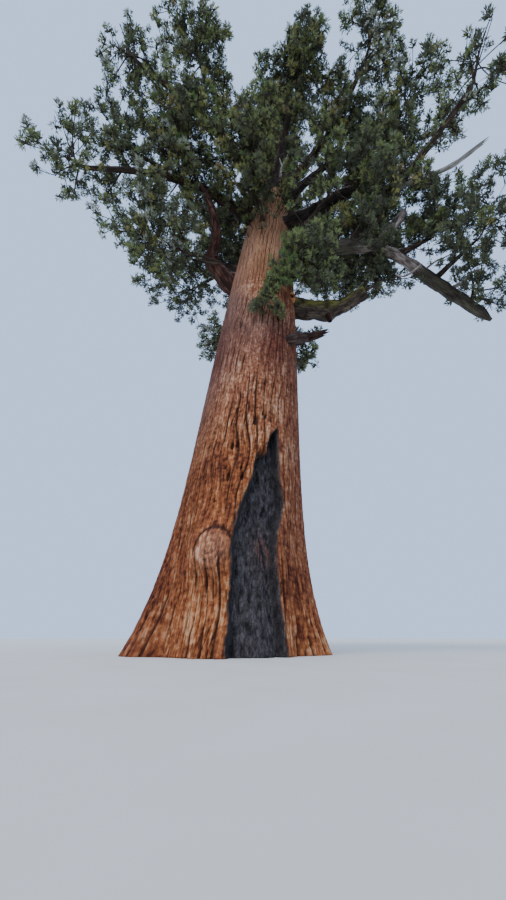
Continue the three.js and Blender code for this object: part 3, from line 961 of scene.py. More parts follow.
    def char(self, marks: Marks, hollow: np.ndarray) -> np.ndarray:
        """Args:
            marks: the patterns at some points.
            hollow: how far they lie inside the scar, from 0 to 1.

        Returns: how far the burnt wood stands out from the plain skin, less than 0.
        """
        rough = self.char_rough * (self.warp.at(marks.turn * 5, marks.rise * 4) - 0.5)
        rough = rough + self.char_chips * (self.chips.at(marks.turn, marks.rise) - 0.5) * hollow**6
        scar_pit = self.spots(self.scar_pits, marks.bearing, marks.height)
        return -self.scar.depth + rough - self.char_lines * marks.cuts[2] - self.scar_pit_depth * scar_pit

    def carve(self, piece: Piece, low: float, high: float) -> None:
        """Gives a plain column the trunk's skin, its furrows and the scar.

        Args:
            piece: the column, round the Z axis.
            low: height of its lower end.
            high: height of its upper end.
        """
        at = Bench.corners(piece)
        height = at[:, 2]
        bearing = np.arctan2(at[:, 1], at[:, 0])
        on_cap = (height < low + 1e-4) | (height > high - 1e-4)
        share = np.hypot(at[:, 0], at[:, 1]) / self.shape.radius(height)
        share = np.where(on_cap & (share < 0.99), share, 1.0)
        marks = self.mark(bearing, height)
        beyond = height - self.split if low < self.split / 2 else self.split - height
        offset = self.bark(marks) - self.tuck * smooth(beyond / self.overlap)
        skin = self.shape.skin(height, bearing)
        torn = 0.09 * (self.warp.at(marks.turn * 3, marks.rise * 3) - 0.5)
        torn = torn + 0.05 * (self.chips.at(marks.turn, marks.rise) - 0.5)
        even = 0.05 * (self.warp.at(marks.turn, marks.rise * 2) - 0.5)
        outward = np.stack([np.cos(bearing), np.sin(bearing), np.zeros_like(height)], axis=-1)
        centre = self.shape.axis(height)
        plain = centre + skin[:, None] * outward
        inside = self.scar.inside(plain, torn, even)
        hollow = smooth(inside / self.scar.wall)
        lip = self.lip_reach * bell(inside, -self.scar.lip, self.scar.lip) * (inside < 0.02)
        offset = (offset + lip) * (1 - hollow) + self.char(marks, hollow) * hollow
        radius = (skin + offset * share) * share
        Bench.place(piece, centre + radius[:, None] * outward)
        self.colour(piece, marks)
        charred = smooth((inside + 0.03) / 0.05)
        # the wall note marks the scar's steep walls for painted shade
        Bench.note(piece, char=charred, wall=4 * hollow * (1 - hollow), ember=self.scar.glow(plain))

    def colour(self, piece: Piece, marks: Marks) -> None:
        """Notes where the bark is furrowed, pale, warm, dim, red and veiled, for its material: painted shade
        in the furrows, on the right side and below the snag, and painted light high on the front.

        Args:
            piece: the length of trunk.
            marks: the patterns at its vertices.
        """
        where = (marks.bearing, marks.height)
        column = self.shape.column_radius
        shifted = 2 * math.pi * marks.side
        grain = np.stack([column * np.cos(shifted), column * np.sin(shifted), marks.height], axis=-1)
        # where the bark is darker, partly its own colour and partly painted shade: furrows, pits, specks, the
        # burl's crease and the dips between its rings
        furrow = np.clip(1.1 * marks.cuts[0] + 0.75 * marks.cuts[1] + 0.35 * marks.cuts[2], 0, 1)
        furrow = furrow * (0.45 + 0.6 * marks.strength) + marks.pit + 0.6 * marks.specks
        furrow = furrow + 0.8 * marks.crease + 0.45 * np.maximum(-marks.arcs, 0)
        right_side = self.right_side.share(*where) * smooth((marks.height - 0.5) / 3)
        left_side = self.left_side.share(*where) * smooth((marks.height - 4) / 6)
        flank = self.flank.share(*where) * smooth((21 - marks.height) / 3)
        middle = self.greyed.share(*where) * (0.4 + 1.2 * marks.blotch)
        # painted light: a warmer, less grey patch high on the front
        painted_light = self.painted_light.share(*where)
        low_down = smooth((11 - marks.height) / 6)
        shades = {
            "furrow": furrow,
            "pale": 0.1 * marks.swell,
            "warm": low_down * (1 - 0.6 * right_side) * (1 - marks.swell) + 0.6 * painted_light,
            # darker in a band round the trunk, on the left flank, and in a painted shadow below the snag
            "dim": 0.5 * self.band.share(*where) + 0.6 * self.painted_snag_shadow.share(*where) + 0.55 * flank,
            # painted shade: darker red on the right side
            "red": right_side,
            "veil": left_side + 0.6 * middle * (1 - right_side) - painted_light,
        }
        shades = {name: np.clip(values, 0, 1) for name, values in shades.items()}
        Bench.note(piece, grain=grain, **shades)

    def build(self) -> None:
        """Models both lengths of the trunk and dresses them."""
        bark = TrunkBark().make()
        spans = (
            ("trunk_foot", 0.0, self.split + self.overlap),
            ("trunk_stem", self.split - self.overlap, self.shape.height),
        )
        for name, low, high in spans:
            shares = np.linspace(0, 1, self.rows + 1) ** (self.rise_packing if low == 0 else 1.0)
            heights = low + (high - low) * shares
            piece = Bench.column(name, self.sides, heights, self.shape.radius(heights))
            Bench.refine(piece, self.finer)
            Bench.shade(piece)
            self.carve(piece, low, high)
            Bench.finish(piece, "bark", [bark], "trunk")


@dataclass(frozen=True)
class Limb:
    """One tapering limb. start is a height on the trunk's axis, or a share of the parent limb."""

    start: float
    reach: float
    bearing: float
    climb: float
    root: float
    arch: float = 0.0
    sway: float = 0.0
    bend: float = 0.0
    swerve: float = 0.0
    tip: float = 0.4
    parent: str = ""
    wood: Wood = Wood.LIVING
    leafy: float = 0.35
    leafy_end: float = 1.0
    thinning: float = 0.25
    carried_on: float = 1.0
    girth: Table = ((0.0, 1.0), (1.0, 1.0))
    # moss and painted shade, by share of the length
    dusk: Table = ((0.0, 0.0), (1.0, 0.0))
    kink: Row = (0.0, 0.0, 0.0, 1.0)
    dense: float = 1.0

    def radius(self, t: Reals) -> np.ndarray:
        """Returns: the radius at a share of the limb's length."""
        return self.root * (1 - (1 - self.tip) * np.asarray(t, float))

    def points(self, foot: np.ndarray, t: Reals) -> np.ndarray:
        """Args:
            foot: where the limb starts.
            t: shares of its length.

        Returns: points on its centre line.
        """
        t = np.asarray(t, float)[..., None]
        ahead, aside = compass(self.bearing)
        once = np.sin(math.pi * t)
        twice = np.sin(2 * math.pi * t)
        rise = self.climb * t + self.arch * once + self.bend * twice
        return foot + ahead * t * self.reach + UP * rise + aside * (self.sway * once + self.swerve * twice)


BOUGHS = {
    "left_arm": Limb(22.8, 10.06, -154, -2.2, 0.35, arch=1.35, sway=0.48, leafy=0.15),
    "left_rise": Limb(0.55, 3.07, -158, 0.79, 0.17, parent="left_arm", leafy=0.2),
    "left_bend": Limb(
        17.3, 4.55, -141, 5.25, 0.45, -0.33, -0.95, -0.12, -0.52, wood=Wood.RED, leafy=0.72,
        girth=((0.15, 1.1), (0.3, 1.4), (0.45, 1.35), (0.6, 1.05), (1, 1)), kink=(0.46, -0.6, 0.0, 0.12),
    ),
    "left_hang": Limb(0.42, 2.9, -146, -0.9, 0.2, parent="left_bend", leafy=0.5),
    "left_back": Limb(20.4, 5.1, 143, 2.3, 0.34, arch=0.25),
    "left_inner": Limb(19.3, 4.39, 168, 2.4, 0.28, arch=-0.2),
    "upper_left": Limb(26.0, 9.57, -139, 1.5, 0.4, arch=0.56, sway=0.48),
    "upper_left_fork": Limb(0.5, 2.59, -151, -0.91, 0.17, parent="upper_left", leafy=0.2),
    "top_left": Limb(29.5, 6.61, -133, 2.0, 0.31, arch=0.2),
    "centre_rise": Limb(26.0, 4.12, -70, 5.0, 0.43, arch=0.27, sway=-0.19, leafy=0.5),
    "right_top": Limb(27.5, 7.85, -49, 2.3, 0.36, arch=-0.12, sway=0.7, leafy=0.4),
    "right_centre": Limb(25.0, 4.77, -27, 2.6, 0.4, sway=-0.15, wood=Wood.SHADED, leafy=0.7),
    "right_long": Limb(
        22.6, 6.36, -22, 1.6, 0.48, arch=-0.08, sway=-0.1, wood=Wood.SHADED, leafy=0.7,
        girth=((0.2, 1.0), (0.4, 1.3), (0.6, 1.65), (0.85, 1.6), (1, 1.2)), kink=(0.55, 0.0, -0.25, 0.35),
    ),
    "right_fork": Limb(0.72, 4.12, -42, 2.51, 0.2, parent="right_long", leafy=0.2, dense=1.6),
    "right_tip": Limb(20.6, 11.18, -35, 2.0, 0.38, arch=-0.44, sway=1.45, leafy=0.5, dense=1.6),
    "right_front": Limb(18.7, 4.16, -45, 1.5, 0.3, leafy=0.45),
    "right_back": Limb(21.0, 5.0, 24, 1.5, 0.33, arch=0.25),
    "first_limb": Limb(
        16.1, 5.58, -6, 0.43, 0.5, -0.41, 0.44, -0.14, -0.36, wood=Wood.MOSSY, leafy=1, thinning=0,
        girth=((0, 1.0), (0.35, 1.1), (0.5, 1.3), (0.63, 1.7), (0.74, 1.5), (0.85, 1.5), (1, 1.75)),
    ),
    "arch_limb": Limb(
        19.0, 10.62, -2, -3.1, 0.55, 0.8, -1.74, -0.85, -0.44,
        wood=Wood.PALE, leafy=0.15, leafy_end=0.62, thinning=0, carried_on=1.1, dense=2.2,
        girth=((0, 1), (0.4, 0.8), (0.55, 0.7), (0.7, 0.75), (0.78, 1.0), (0.9, 1.08), (1.1, 1.15)),
        # dark at both ends: painted shade under the foliage near the trunk, moss and painted shade towards
        # the end
        dusk=((0, 1), (0.42, 1), (0.5, 0), (0.74, 0), (0.8, 1), (1.1, 1)), kink=(0.87, 0.0, -0.35, 0.1),
    ),
    "arch_riser": Limb(0.42, 0.7, -57, 1.2, 0.22, parent="arch_limb", leafy=0.3),
    "arch_outer": Limb(0.66, 1.84, -18, 0.53, 0.2, parent="arch_limb", leafy=0.3),
    "arch_edge": Limb(0.86, 2.45, -65, -0.13, 0.16, parent="arch_limb", leafy=0.3),
    "back_centre": Limb(22.0, 3.67, 97, 1.5, 0.36, arch=0.2),
    "back_right": Limb(24.0, 4.31, 44, 2.3, 0.34, arch=0.25),
}
DEAD = {
    "dead_spar": Limb(
        0.62, 4.83, -23, 1.17, 0.13, tip=0.25, parent="right_tip", wood=Wood.BLEACHED, thinning=-1.7,
        kink=(0.65, 0.0, -0.62, 0.3),
    ),
    "broken_stub": Limb(
        0.55, 1.79, -25, 1.95, 0.3, tip=0.7, parent="arch_limb", wood=Wood.PALE, thinning=0, leafy=0.0,
        leafy_end=0.65,
    ),
    "snag": Limb(13.6, 3.23, -16, -0.56, 0.34, sway=0.24, tip=0.3, wood=Wood.DEAD, thinning=-0.3),
}
LIMBS = {**BOUGHS, **DEAD}


def limb_points(name: str, t: Reals) -> np.ndarray:
    """Args:
        name: the limb's name.
        t: shares of its length.

    Returns: points on its centre line.
    """
    limb = LIMBS[name]
    foot = limb_points(limb.parent, limb.start) if limb.parent else TRUNK.axis(limb.start)
    return limb.points(foot, t)


def limb_heading(name: str, t: float) -> np.ndarray:
    """Returns: the limb's direction at a share of its length."""
    step = 0.01
    return unit(limb_points(name, min(t + step, 1)) - limb_points(name, max(t - step, 0)))


def cross_frames(directions: np.ndarray) -> tuple[np.ndarray, np.ndarray]:
    """Args:
        directions: unit vectors, along the last axis.

    Returns: two directions square to each, the first level.
    """
    level = np.cross(UP, directions)
    flat = np.sum(level * level, axis=-1, keepdims=True) < 1e-3
    level = unit(np.where(flat, np.array([1.0, 0, 0]), level))
    return level, np.cross(directions, level)


@dataclass
class LimbPieces:
    """Every bough and dead limb as a piece of its own."""

    sides: int = 8
    finer: int = 2
    rows_per_metre: float = 1.6
    pattern_rise: float = 18.0
    collar: float = 0.45
    collar_length: float = 0.7
    lump_reach: float = 0.28
    groove_depth: float = 0.14
    fullness: float = 0.05
    ragged: float = 0.2
    ragged_from: float = 0.75

    def __post_init__(self) -> None:
        """Makes the finishes and the patterns that all limbs share."""
        self.finishes = {wood: finish.make() for wood, finish in WOODS.items()}
        self.coarse = GrainSheet(21, 12, 40)
        self.fine = GrainSheet(22, 26, 90)
        self.lumps = GrainSheet(23, 3, 30)

    def thickness(self, limb: Limb, along: np.ndarray) -> np.ndarray:
        """Args:
            limb: the limb.
            along: shares of its length.

        Returns: how much thicker it is there than its plain taper.
        """
        share = (1 - limb.thinning * np.clip(along, 0, 1) ** 2) * follow(along, limb.girth)
        if limb.carried_on > 1:
            share = share * np.sqrt(np.clip((limb.carried_on - along) / 0.05, 0.1, 1))
        return share

    def line(self, name: str, along: np.ndarray, length: float) -> tuple[np.ndarray, np.ndarray]:
        """Args:
            name: the limb's name.
            along: shares of its length, past its ends too.
            length: its straight length.

        Returns: points on its kinked centre line, and its headings there.
        """
        limb = LIMBS[name]
        t = np.clip(along, 0, limb.carried_on)
        before = limb_points(name, np.maximum(t - 0.01, 0))
        after = limb_points(name, np.minimum(t + 0.01, limb.carried_on))
        heading = unit(after - before)
        centre = limb_points(name, t) + heading * ((along - t) * length)[:, None]
        at_share, aside, lift, spread = limb.kink
        return centre + np.array([aside, 0, lift]) * bell(along, at_share, spread)[:, None], heading

    def round_off(self, piece: Piece, limb: Limb, length: float) -> None:
        """Makes a faceted straight limb round, without moving its ends' middles.

        Args:
            piece: the straight limb.
            limb: its sizes.
            length: its straight length.
        """
        at = Bench.corners(piece)
        on_side = (at[:, 2] > 1e-4) & (at[:, 2] < length - 1e-4)
        reach = np.maximum(np.hypot(at[:, 0], at[:, 1]), 1e-6)
        wanted = limb.radius(at[:, 2] / length)
        turn = np.arctan2(at[:, 1], at[:, 0])
        sector = 2 * math.pi / self.sides
        flat = math.cos(sector / 2) / np.cos((turn % sector) - sector / 2)
        share = np.where(on_side, wanted / reach, 1 / flat)
        at[:, 0] *= share
        at[:, 1] *= share
        Bench.place(piece, at)

    def lay(self, piece: Piece, name: str, length: float, shift: float) -> None:
        """Lays a straight limb along its path and gives it furrows and lumps.

        Args:
            piece: the straight limb, upright, its lower end at 0.
            name: the limb's name.
            length: its straight length.
            shift: moves the pattern, so that limbs differ.
        """
        limb = LIMBS[name]
        at = Bench.corners(piece)
        along = at[:, 2] / length * limb.carried_on
        bearing = np.arctan2(at[:, 1], at[:, 0])
        reach = np.hypot(at[:, 0], at[:, 1])
        turn = bearing / (2 * math.pi) + 0.5
        rise = at[:, 2] / self.pattern_rise + shift
        wide = 1 - np.abs(2 * self.coarse.at(turn, rise) - 1) / 0.45
        thin = 1 - np.abs(2 * self.fine.at(turn, rise) - 1) / 0.5
        furrow = np.clip(0.7 * smooth(wide) + 0.4 * smooth(thin), 0, 1)
        size = np.maximum(limb.radius(np.clip(along, 0, 1)), 1e-3)
        edge = np.minimum(reach / size, 1.0)
        lumps = self.lump_reach * (self.lumps.at(turn, rise * 1.7) - 0.5)
        swell = 1 + edge * (lumps - self.groove_depth * furrow + self.fullness)
        if not limb.parent:
            out = np.maximum(at[:, 2] - TRUNK.radius(limb.start), 0)
            swell = swell * (1 + self.collar * np.exp(-out / self.collar_length))
        width = reach * swell * self.thickness(limb, along)
        if name in DEAD:
            torn = smooth((along - self.ragged_from) / (1 - self.ragged_from))
            teeth = self.fine.at(turn, np.full_like(turn, 0.3)) - 0.5
            along = along + self.ragged * torn * teeth * edge
        centre, heading = self.line(name, along, length)
        level, over = cross_frames(heading)
        around = level * (width * np.cos(bearing))[:, None] + over * (width * np.sin(bearing))[:, None]
        Bench.place(piece, centre + around)
        grain = np.stack([size * np.cos(bearing), size * np.sin(bearing), at[:, 2] + 7 * shift], axis=-1)
        # the furrows also take painted shade, and the table marks moss and painted shade
        Bench.note(piece, grain=grain, furrow=furrow, dusk=follow(along, limb.dusk))

    def build(self) -> None:
        """Models every limb straight, lays it along its path and dresses it."""
        for number, (name, limb) in enumerate(LIMBS.items()):
            path = limb_points(name, np.linspace(0, limb.carried_on, 60))
            length = float(np.linalg.norm(np.diff(path, axis=0), axis=1).sum())
            rows = max(6, round(length * self.rows_per_metre))
            shares = np.linspace(0, 1, rows + 1)
            slot, node = ("dead_wood", name) if name in DEAD else ("limb_bark", f"bough_{name}")
            piece = Bench.column(f"limb_{name}", self.sides, shares * length, limb.radius(shares))
            Bench.refine(piece, self.finer)
            Bench.shade(piece)
            self.round_off(piece, limb, length)
            self.lay(piece, name, length, 0.137 * number)
            Bench.finish(piece, slot, [self.finishes[limb.wood]], node)


@dataclass(frozen=True)
class MassPlan:
    """Where a mass of foliage sits: off its bough's tip, or out from the trunk at a height."""

    group: str
    palette: Palette
    spread: float
    ahead: float = 0.0
    aside: float = 0.0
    above: float = 0.0
    height: float = 0.0
    bearing: float = 0.0
    out: float = 0.0
    drop: float = 0.0
    fill: float = 1.0
    stem: float = 1.0


MASSES = {
    "left_arm": MassPlan("left", Palette.OUTER, 2.5, 1.1, -0.3, 0.7, fill=0.45),
    "left_rise": MassPlan("left", Palette.OUTER, 2.5, 0.82, 0.38, 1.0, fill=0.55),
    "left_bend": MassPlan("left", Palette.OLIVE, 2.9, 1.2, 0.3, 1.9, fill=0.95),
    "left_hang": MassPlan("left", Palette.OUTER, 2.5, 1.2, 0.1, 0.1),
    "left_back": MassPlan("back", Palette.SHADE, 2.9, 2.1, 0.04, 0.5, fill=0.42),
    "left_inner": MassPlan("left", Palette.SHADE, 2.6, 1.7, 0.02, 0.5, fill=0.75),
    "upper_left": MassPlan("top", Palette.OUTER, 2.6, 1.08, -0.13, 0.7, fill=0.38),
    "upper_left_fork": MassPlan("left", Palette.OLIVE, 2.6, 0.91, -0.38, 0.9, fill=0.6),
    "top_left": MassPlan("top", Palette.HIGH, 2.9, 1.24, 0.57, 1.5, fill=0.9),
    "centre_rise": MassPlan("top", Palette.HIGH, 3.0, 1.4, -0.03, 2.2, fill=1.4),
    "right_top": MassPlan("top", Palette.HIGH, 2.8, 1.03, -0.37, 1.4, fill=0.6),
    "right_centre": MassPlan("right", Palette.MIXED, 2.8, 0.91, -1.01, 1.6),
    "right_long": MassPlan("right", Palette.MIXED, 2.7, 1.5, -0.17, 1.0),
    "right_fork": MassPlan("right", Palette.OUTER, 2.7, 1.19, -0.28, 1.4, fill=0.5),
    "right_tip": MassPlan("right", Palette.OUTER, 2.3, 0.9, -0.46, 1.4, fill=0.32),
    "right_front": MassPlan("arch", Palette.FRESH, 2.6, 1.0, 0.05, 1.2, fill=1.2),
    "right_back": MassPlan("back", Palette.SHADE, 2.7, 1.7, 0.04, 0.8, fill=0.9),
    "first_limb": MassPlan("arch", Palette.SHADE, 2.1, 1.18, 0.33, 1.37, stem=0.4),
    "arch_limb": MassPlan("arch", Palette.SHADE, 1.9, 0.27, -0.83, 0.3, fill=0.9),
    "arch_riser": MassPlan("arch", Palette.OLIVE, 2.3, 0.6, 0.1, 1.2, fill=1.4),
    "arch_outer": MassPlan("arch", Palette.MIXED, 2.4, 0.42, -0.62, 1.3, fill=0.9),
    "arch_edge": MassPlan("arch", Palette.SHADE, 2.1, 0.84, -0.21, 0.6, fill=0.75),
    "back_centre": MassPlan("back", Palette.SHADE, 2.9, 1.58, 0.04, 0.7, fill=0.9),
    "back_right": MassPlan("back", Palette.SHADE, 3.0, 1.6, 0.05, 0.7, fill=0.9),
    "back_upper": MassPlan("peak", Palette.SHADE, 3.0, height=32.4, bearing=90, out=3.3, drop=1.8),
    "back_high": MassPlan("peak", Palette.SHADE, 2.9, height=29.2, bearing=143, out=4.7, drop=1.9, fill=0.9),
    "centre_front": MassPlan(
        "right", Palette.OLIVE, 2.5, height=23.0, bearing=-104, out=4.4, drop=1.5, fill=1.1
    ),
    "front_right": MassPlan(
        "arch", Palette.FRESH, 1.7, height=16.2, bearing=-53, out=3.26, drop=0.5, fill=1.7
    ),
    "low_left": MassPlan("left", Palette.OUTER, 1.1, height=15.8, bearing=139, out=3.82, drop=0.4),
    "low_right": MassPlan("arch", Palette.SHADE, 0.9, height=14.0, bearing=32, out=2.79, drop=0.2),
    "top_front": MassPlan("peak", Palette.MIXED, 2.7, height=34.4, bearing=-97, out=2.22, drop=1.4),
    "top": MassPlan("peak", Palette.MIXED, TREE_HEIGHT - 37.45, height=37.45),
}


@dataclass
class Mass:
    """One mass in its place, with the borders that part it from its neighbours."""

    name: str
    plan: MassPlan
    centre: np.ndarray
    thick: float
    stem: np.ndarray
    normals: np.ndarray = field(default_factory=lambda: np.zeros((0, 3)))
    limits: np.ndarray = field(default_factory=lambda: np.zeros(0))

    def depth(self, points: np.ndarray) -> np.ndarray:
        """Returns: how far points lie inside the mass's space, negative outside."""
        depth = self.plan.spread - np.linalg.norm(points - self.centre, axis=-1)
        return np.minimum(depth, (self.limits - points @ self.normals.T).min(axis=-1, initial=1e9))

    def room(self, directions: np.ndarray) -> np.ndarray:
        """Args:
            directions: headings from the centre, one row each.

        Returns: how far each runs before it leaves the mass's space.
        """
        rate = directions @ self.normals.T
        left = self.limits - self.normals @ self.centre
        way = np.where(rate > 1e-6, left / np.maximum(rate, 1e-6), 1e9)
        return np.minimum(self.plan.spread, way.min(axis=-1, initial=1e9))


@dataclass(frozen=True)
class GrowthRule:
    """The source's rule for a mass, in metres, and how it is carried on to finer twigs."""

    twigs_per_metre: float = 4.4
    heart: float = 0.62
    heart_uneven: float = 0.24
    turn_uneven: float = 0.5
    rise_uneven: float = 0.2
    roll_uneven: float = 1.1
    twig_share: float = 0.44
    twig_thin: float = 0.05
    blade_shortest: float = 0.45
    blade_wide: float = 0.72
    blade_thick: float = 0.2
    clearance: float = 0.06
    border_gap: float = 0.025
    first_seed: int = 211
    seed_step: int = 37


RULE = GrowthRule()
# Left edge, right edge and ridge of a blade at two places: how far ahead and how far aside.
BLADE_STATIONS = (((0.3, 1), (0.4, 0.9), (0.34, 1)), ((0.62, 0.42), (0.66, 0.5), (0.64, 0.7)))


def span_gaps(a0: np.ndarray, a1: np.ndarray, b0: np.ndarray, b1: np.ndarray) -> np.ndarray:
    """Args:
        a0, a1: ends of one straight piece.
        b0, b1: ends of many straight pieces, one row each.

    Returns: the shortest distance from the one to each of the many.
    """
    u = a1 - a0
    v = b1 - b0
    w = a0 - b0
    a = max(float(u @ u), 1e-12)
    b = v @ u
    c = np.maximum(np.sum(v * v, axis=1), 1e-12)
    d = w @ u
    e = np.sum(v * w, axis=1)
    flat = a * c - b * b
    s = np.where(flat > 1e-12, np.clip((b * e - c * d) / np.maximum(flat, 1e-12), 0, 1), 0)
    t = np.clip((b * s + e) / c, 0, 1)
    s = np.clip((b * t - d) / a, 0, 1)
    return np.linalg.norm(w + s[:, None] * u - t[:, None] * v, axis=1)


def point_gaps(points: np.ndarray, start: np.ndarray, end: np.ndarray) -> np.ndarray:
    """Args:
        points: many points, one row each.
        start: one end of a straight piece.
        end: its other end.

    Returns: the distance from each point to it.
    """
    way = end - start
    t = np.clip((points - start) @ way / max(float(way @ way), 1e-12), 0, 1)
    return np.linalg.norm(points - start - t[:, None] * way, axis=1)


@dataclass
class Crown:
    """Surveys the masses and grows them by the source's rule."""

    trunk_spans: int = 16
    limb_spans: int = 8

    def __post_init__(self) -> None:
        """Places every mass, its borders and what stands in its way."""
        self.masses = [self.settle(name, plan) for name, plan in MASSES.items()]
        for mass in self.masses:
            self.part(mass)
        self.survey()

    def settle(self, name: str, plan: MassPlan) -> Mass:
        """Args:
            name: the mass's name.
            plan: where it sits.

        Returns: the mass in its place.
        """
        if plan.height:
            centre = TRUNK.axis(plan.height) + plan.out * compass(plan.bearing)[0]
            root = TRUNK.axis(plan.height - plan.drop if plan.out else TRUNK.height)
            knee = (root + centre) / 2
            thick = float(TRUNK.radius(TRUNK.height)) * 0.7
            if plan.out:
                knee[2] = root[2] + 0.2 * (centre[2] - root[2])
                thick = 0.06 + 0.045 * plan.spread
            return Mass(name, plan, centre, thick, np.stack([root, knee, centre]))
        bough = BOUGHS[name]
        heading = limb_heading(name, 1)
        ahead, aside = compass(bough.bearing)
        centre = limb_points(name, 1.0) + plan.ahead * ahead + plan.aside * aside + plan.above * UP
        root = limb_points(name, 1.0) + heading * GAP
        knee = root + heading * np.linalg.norm(root - centre) * 0.3
        return Mass(name, plan, centre, float(bough.radius(1)) * 0.75, np.stack([root, knee, centre]))

    def part(self, mass: Mass) -> None:
        """Finds the planes between a mass's space and its neighbours' spaces.

        Args:
            mass: the mass.
        """
        normals, limits = [], []
        for other in self.masses:
            gap = other.centre - mass.centre
            distance = float(np.linalg.norm(gap))
            if other is mass or distance > mass.plan.spread + other.plan.spread:
                continue
            share = (distance**2 + mass.plan.spread**2 - other.plan.spread**2) / (2 * distance)
            normals.append(gap / distance)
            limits.append(float(gap @ mass.centre) / distance + share - RULE.border_gap)
        if normals:
            mass.normals = np.array(normals)
            mass.limits = np.array(limits)

    def survey(self) -> None:
        """Lists the straight spans that stand in the way of growth."""
        spans = []
        cuts = np.linspace(0, TRUNK.height, self.trunk_spans + 1)
        for low, high in zip(cuts, cuts[1:]):
            spans.append((TRUNK.axis(low), TRUNK.axis(high), float(TRUNK.radius(low)), ""))
        cuts = np.linspace(0, 1, self.limb_spans + 1)
        for name, limb in LIMBS.items():
            for near, far in zip(cuts, cuts[1:]):
                start, end = limb_points(name, near), limb_points(name, far)
                spans.append((start, end, float(limb.radius(near)), ""))
        for mass in self.masses:
            for i in range(2):
                spans.append((mass.stem[i], mass.stem[i + 1], mass.thick, mass.name))
        columns = (np.array(column) for column in zip(*spans))
        self.span_from, self.span_to, self.span_radius, self.span_owner = columns

    def clear(self, mass: Mass, start: np.ndarray, end: np.ndarray, width: float) -> bool:
        """Args:
            mass: the mass that it grows in.
            start: one end of a straight piece.
            end: its other end.
            width: half its width.

        Returns: whether it keeps clear of every limb but the mass's own stem.
        """
        gaps = span_gaps(start, end, self.span_from, self.span_to)
        enough = gaps >= self.span_radius + width + RULE.clearance
        return bool(np.all(enough | (self.span_owner == mass.name)))

    def heart(self, mass: Mass) -> float:
        """Args:
            mass: the mass.

        Returns: the radius of its dense heart.
        """
        radius = min(mass.plan.spread * RULE.heart, float(mass.depth(mass.centre)))
        gaps = span_gaps(mass.centre, mass.centre + UP * 0.001, self.span_from, self.span_to)
        others = self.span_owner != mass.name
        radius = min(radius, float((gaps - self.span_radius - RULE.clearance)[others].min()))
        return radius / (1 + RULE.heart_uneven)

    def blade(
        self, mass: Mass, root: np.ndarray, direction: np.ndarray, roll: float, longest: float
    ) -> float:
        """Args:
            mass: the mass.
            root: where the spray starts.
            direction: its heading.
            roll: its turn about the heading.
            longest: the room that it has.

        Returns: the length that fits, or 0.
        """
        level, over = cross_frames(direction)
        side = level * math.cos(roll) + over * math.sin(roll)
        ridge = np.cross(direction, side)
        ways = ((side, RULE.blade_wide), (-side, RULE.blade_wide), (ridge, RULE.blade_thick))
        length = longest
        for _ in range(6):
            if length < RULE.blade_shortest:
                return 0.0
            corners = []
            for station in BLADE_STATIONS:
                for (ahead, aside), (way, share) in zip(station, ways):
                    corners.append(root + direction * ahead * length + way * aside * length * share)
            inside = bool(np.all(mass.depth(np.array(corners)) >= 0))
            width = length * RULE.blade_wide * 0.6
            if inside and self.clear(mass, root, root + direction * length, width):
                return length
            length *= 0.85
        return 0.0

    def twigs(self, mass: Mass, seed: int) -> list[tuple[np.ndarray, np.ndarray]]:
        """Args:
            mass: the mass.
            seed: the seed that the source gives it.

        Returns: the middle and the end of each main twig that has room.
        """
        dice = Dice(seed)
        count = round(mass.plan.spread * RULE.twigs_per_metre)
        heart = self.heart(mass)
        grown = []
        for i in range(count):
            rise = 1 - 2 * i / (count - 1)
            flat = math.sqrt(max(1 - rise * rise, 0))
            turn = GOLDEN_TURN * i + seed + (dice.roll() - 0.5) * RULE.turn_uneven
            wander = (dice.roll() - 0.5) * RULE.rise_uneven
            roll = (dice.roll() - 0.5) * RULE.roll_uneven
            direction = np.array([flat * math.cos(turn), flat * math.sin(turn), rise + (wander if i else 0)])
            direction = unit(direction)
            room = float(mass.room(direction[None, :])[0])
            root = mass.centre + direction * room * RULE.twig_share
            if not self.clear(mass, mass.centre + direction * heart, root, RULE.twig_thin):
                continue
            length = self.blade(mass, root, direction, roll, room * (1 - RULE.twig_share) - 0.001)
            if length:
                grown.append((root, root + direction * length * 0.9))
        return grown


@dataclass
class Tufts:
    """Ends of the finest twigs: place, heading, size, palette and leading tint of each tuft."""

    centre: np.ndarray
    axis: np.ndarray
    size: np.ndarray
    palette: np.ndarray
    mood: np.ndarray

    def pick(self, chosen: np.ndarray) -> "Tufts":
        """Returns: the chosen tufts alone."""
        rows = (self.centre, self.axis, self.size, self.palette, self.mood)
        return Tufts(*(values[chosen] for values in rows))


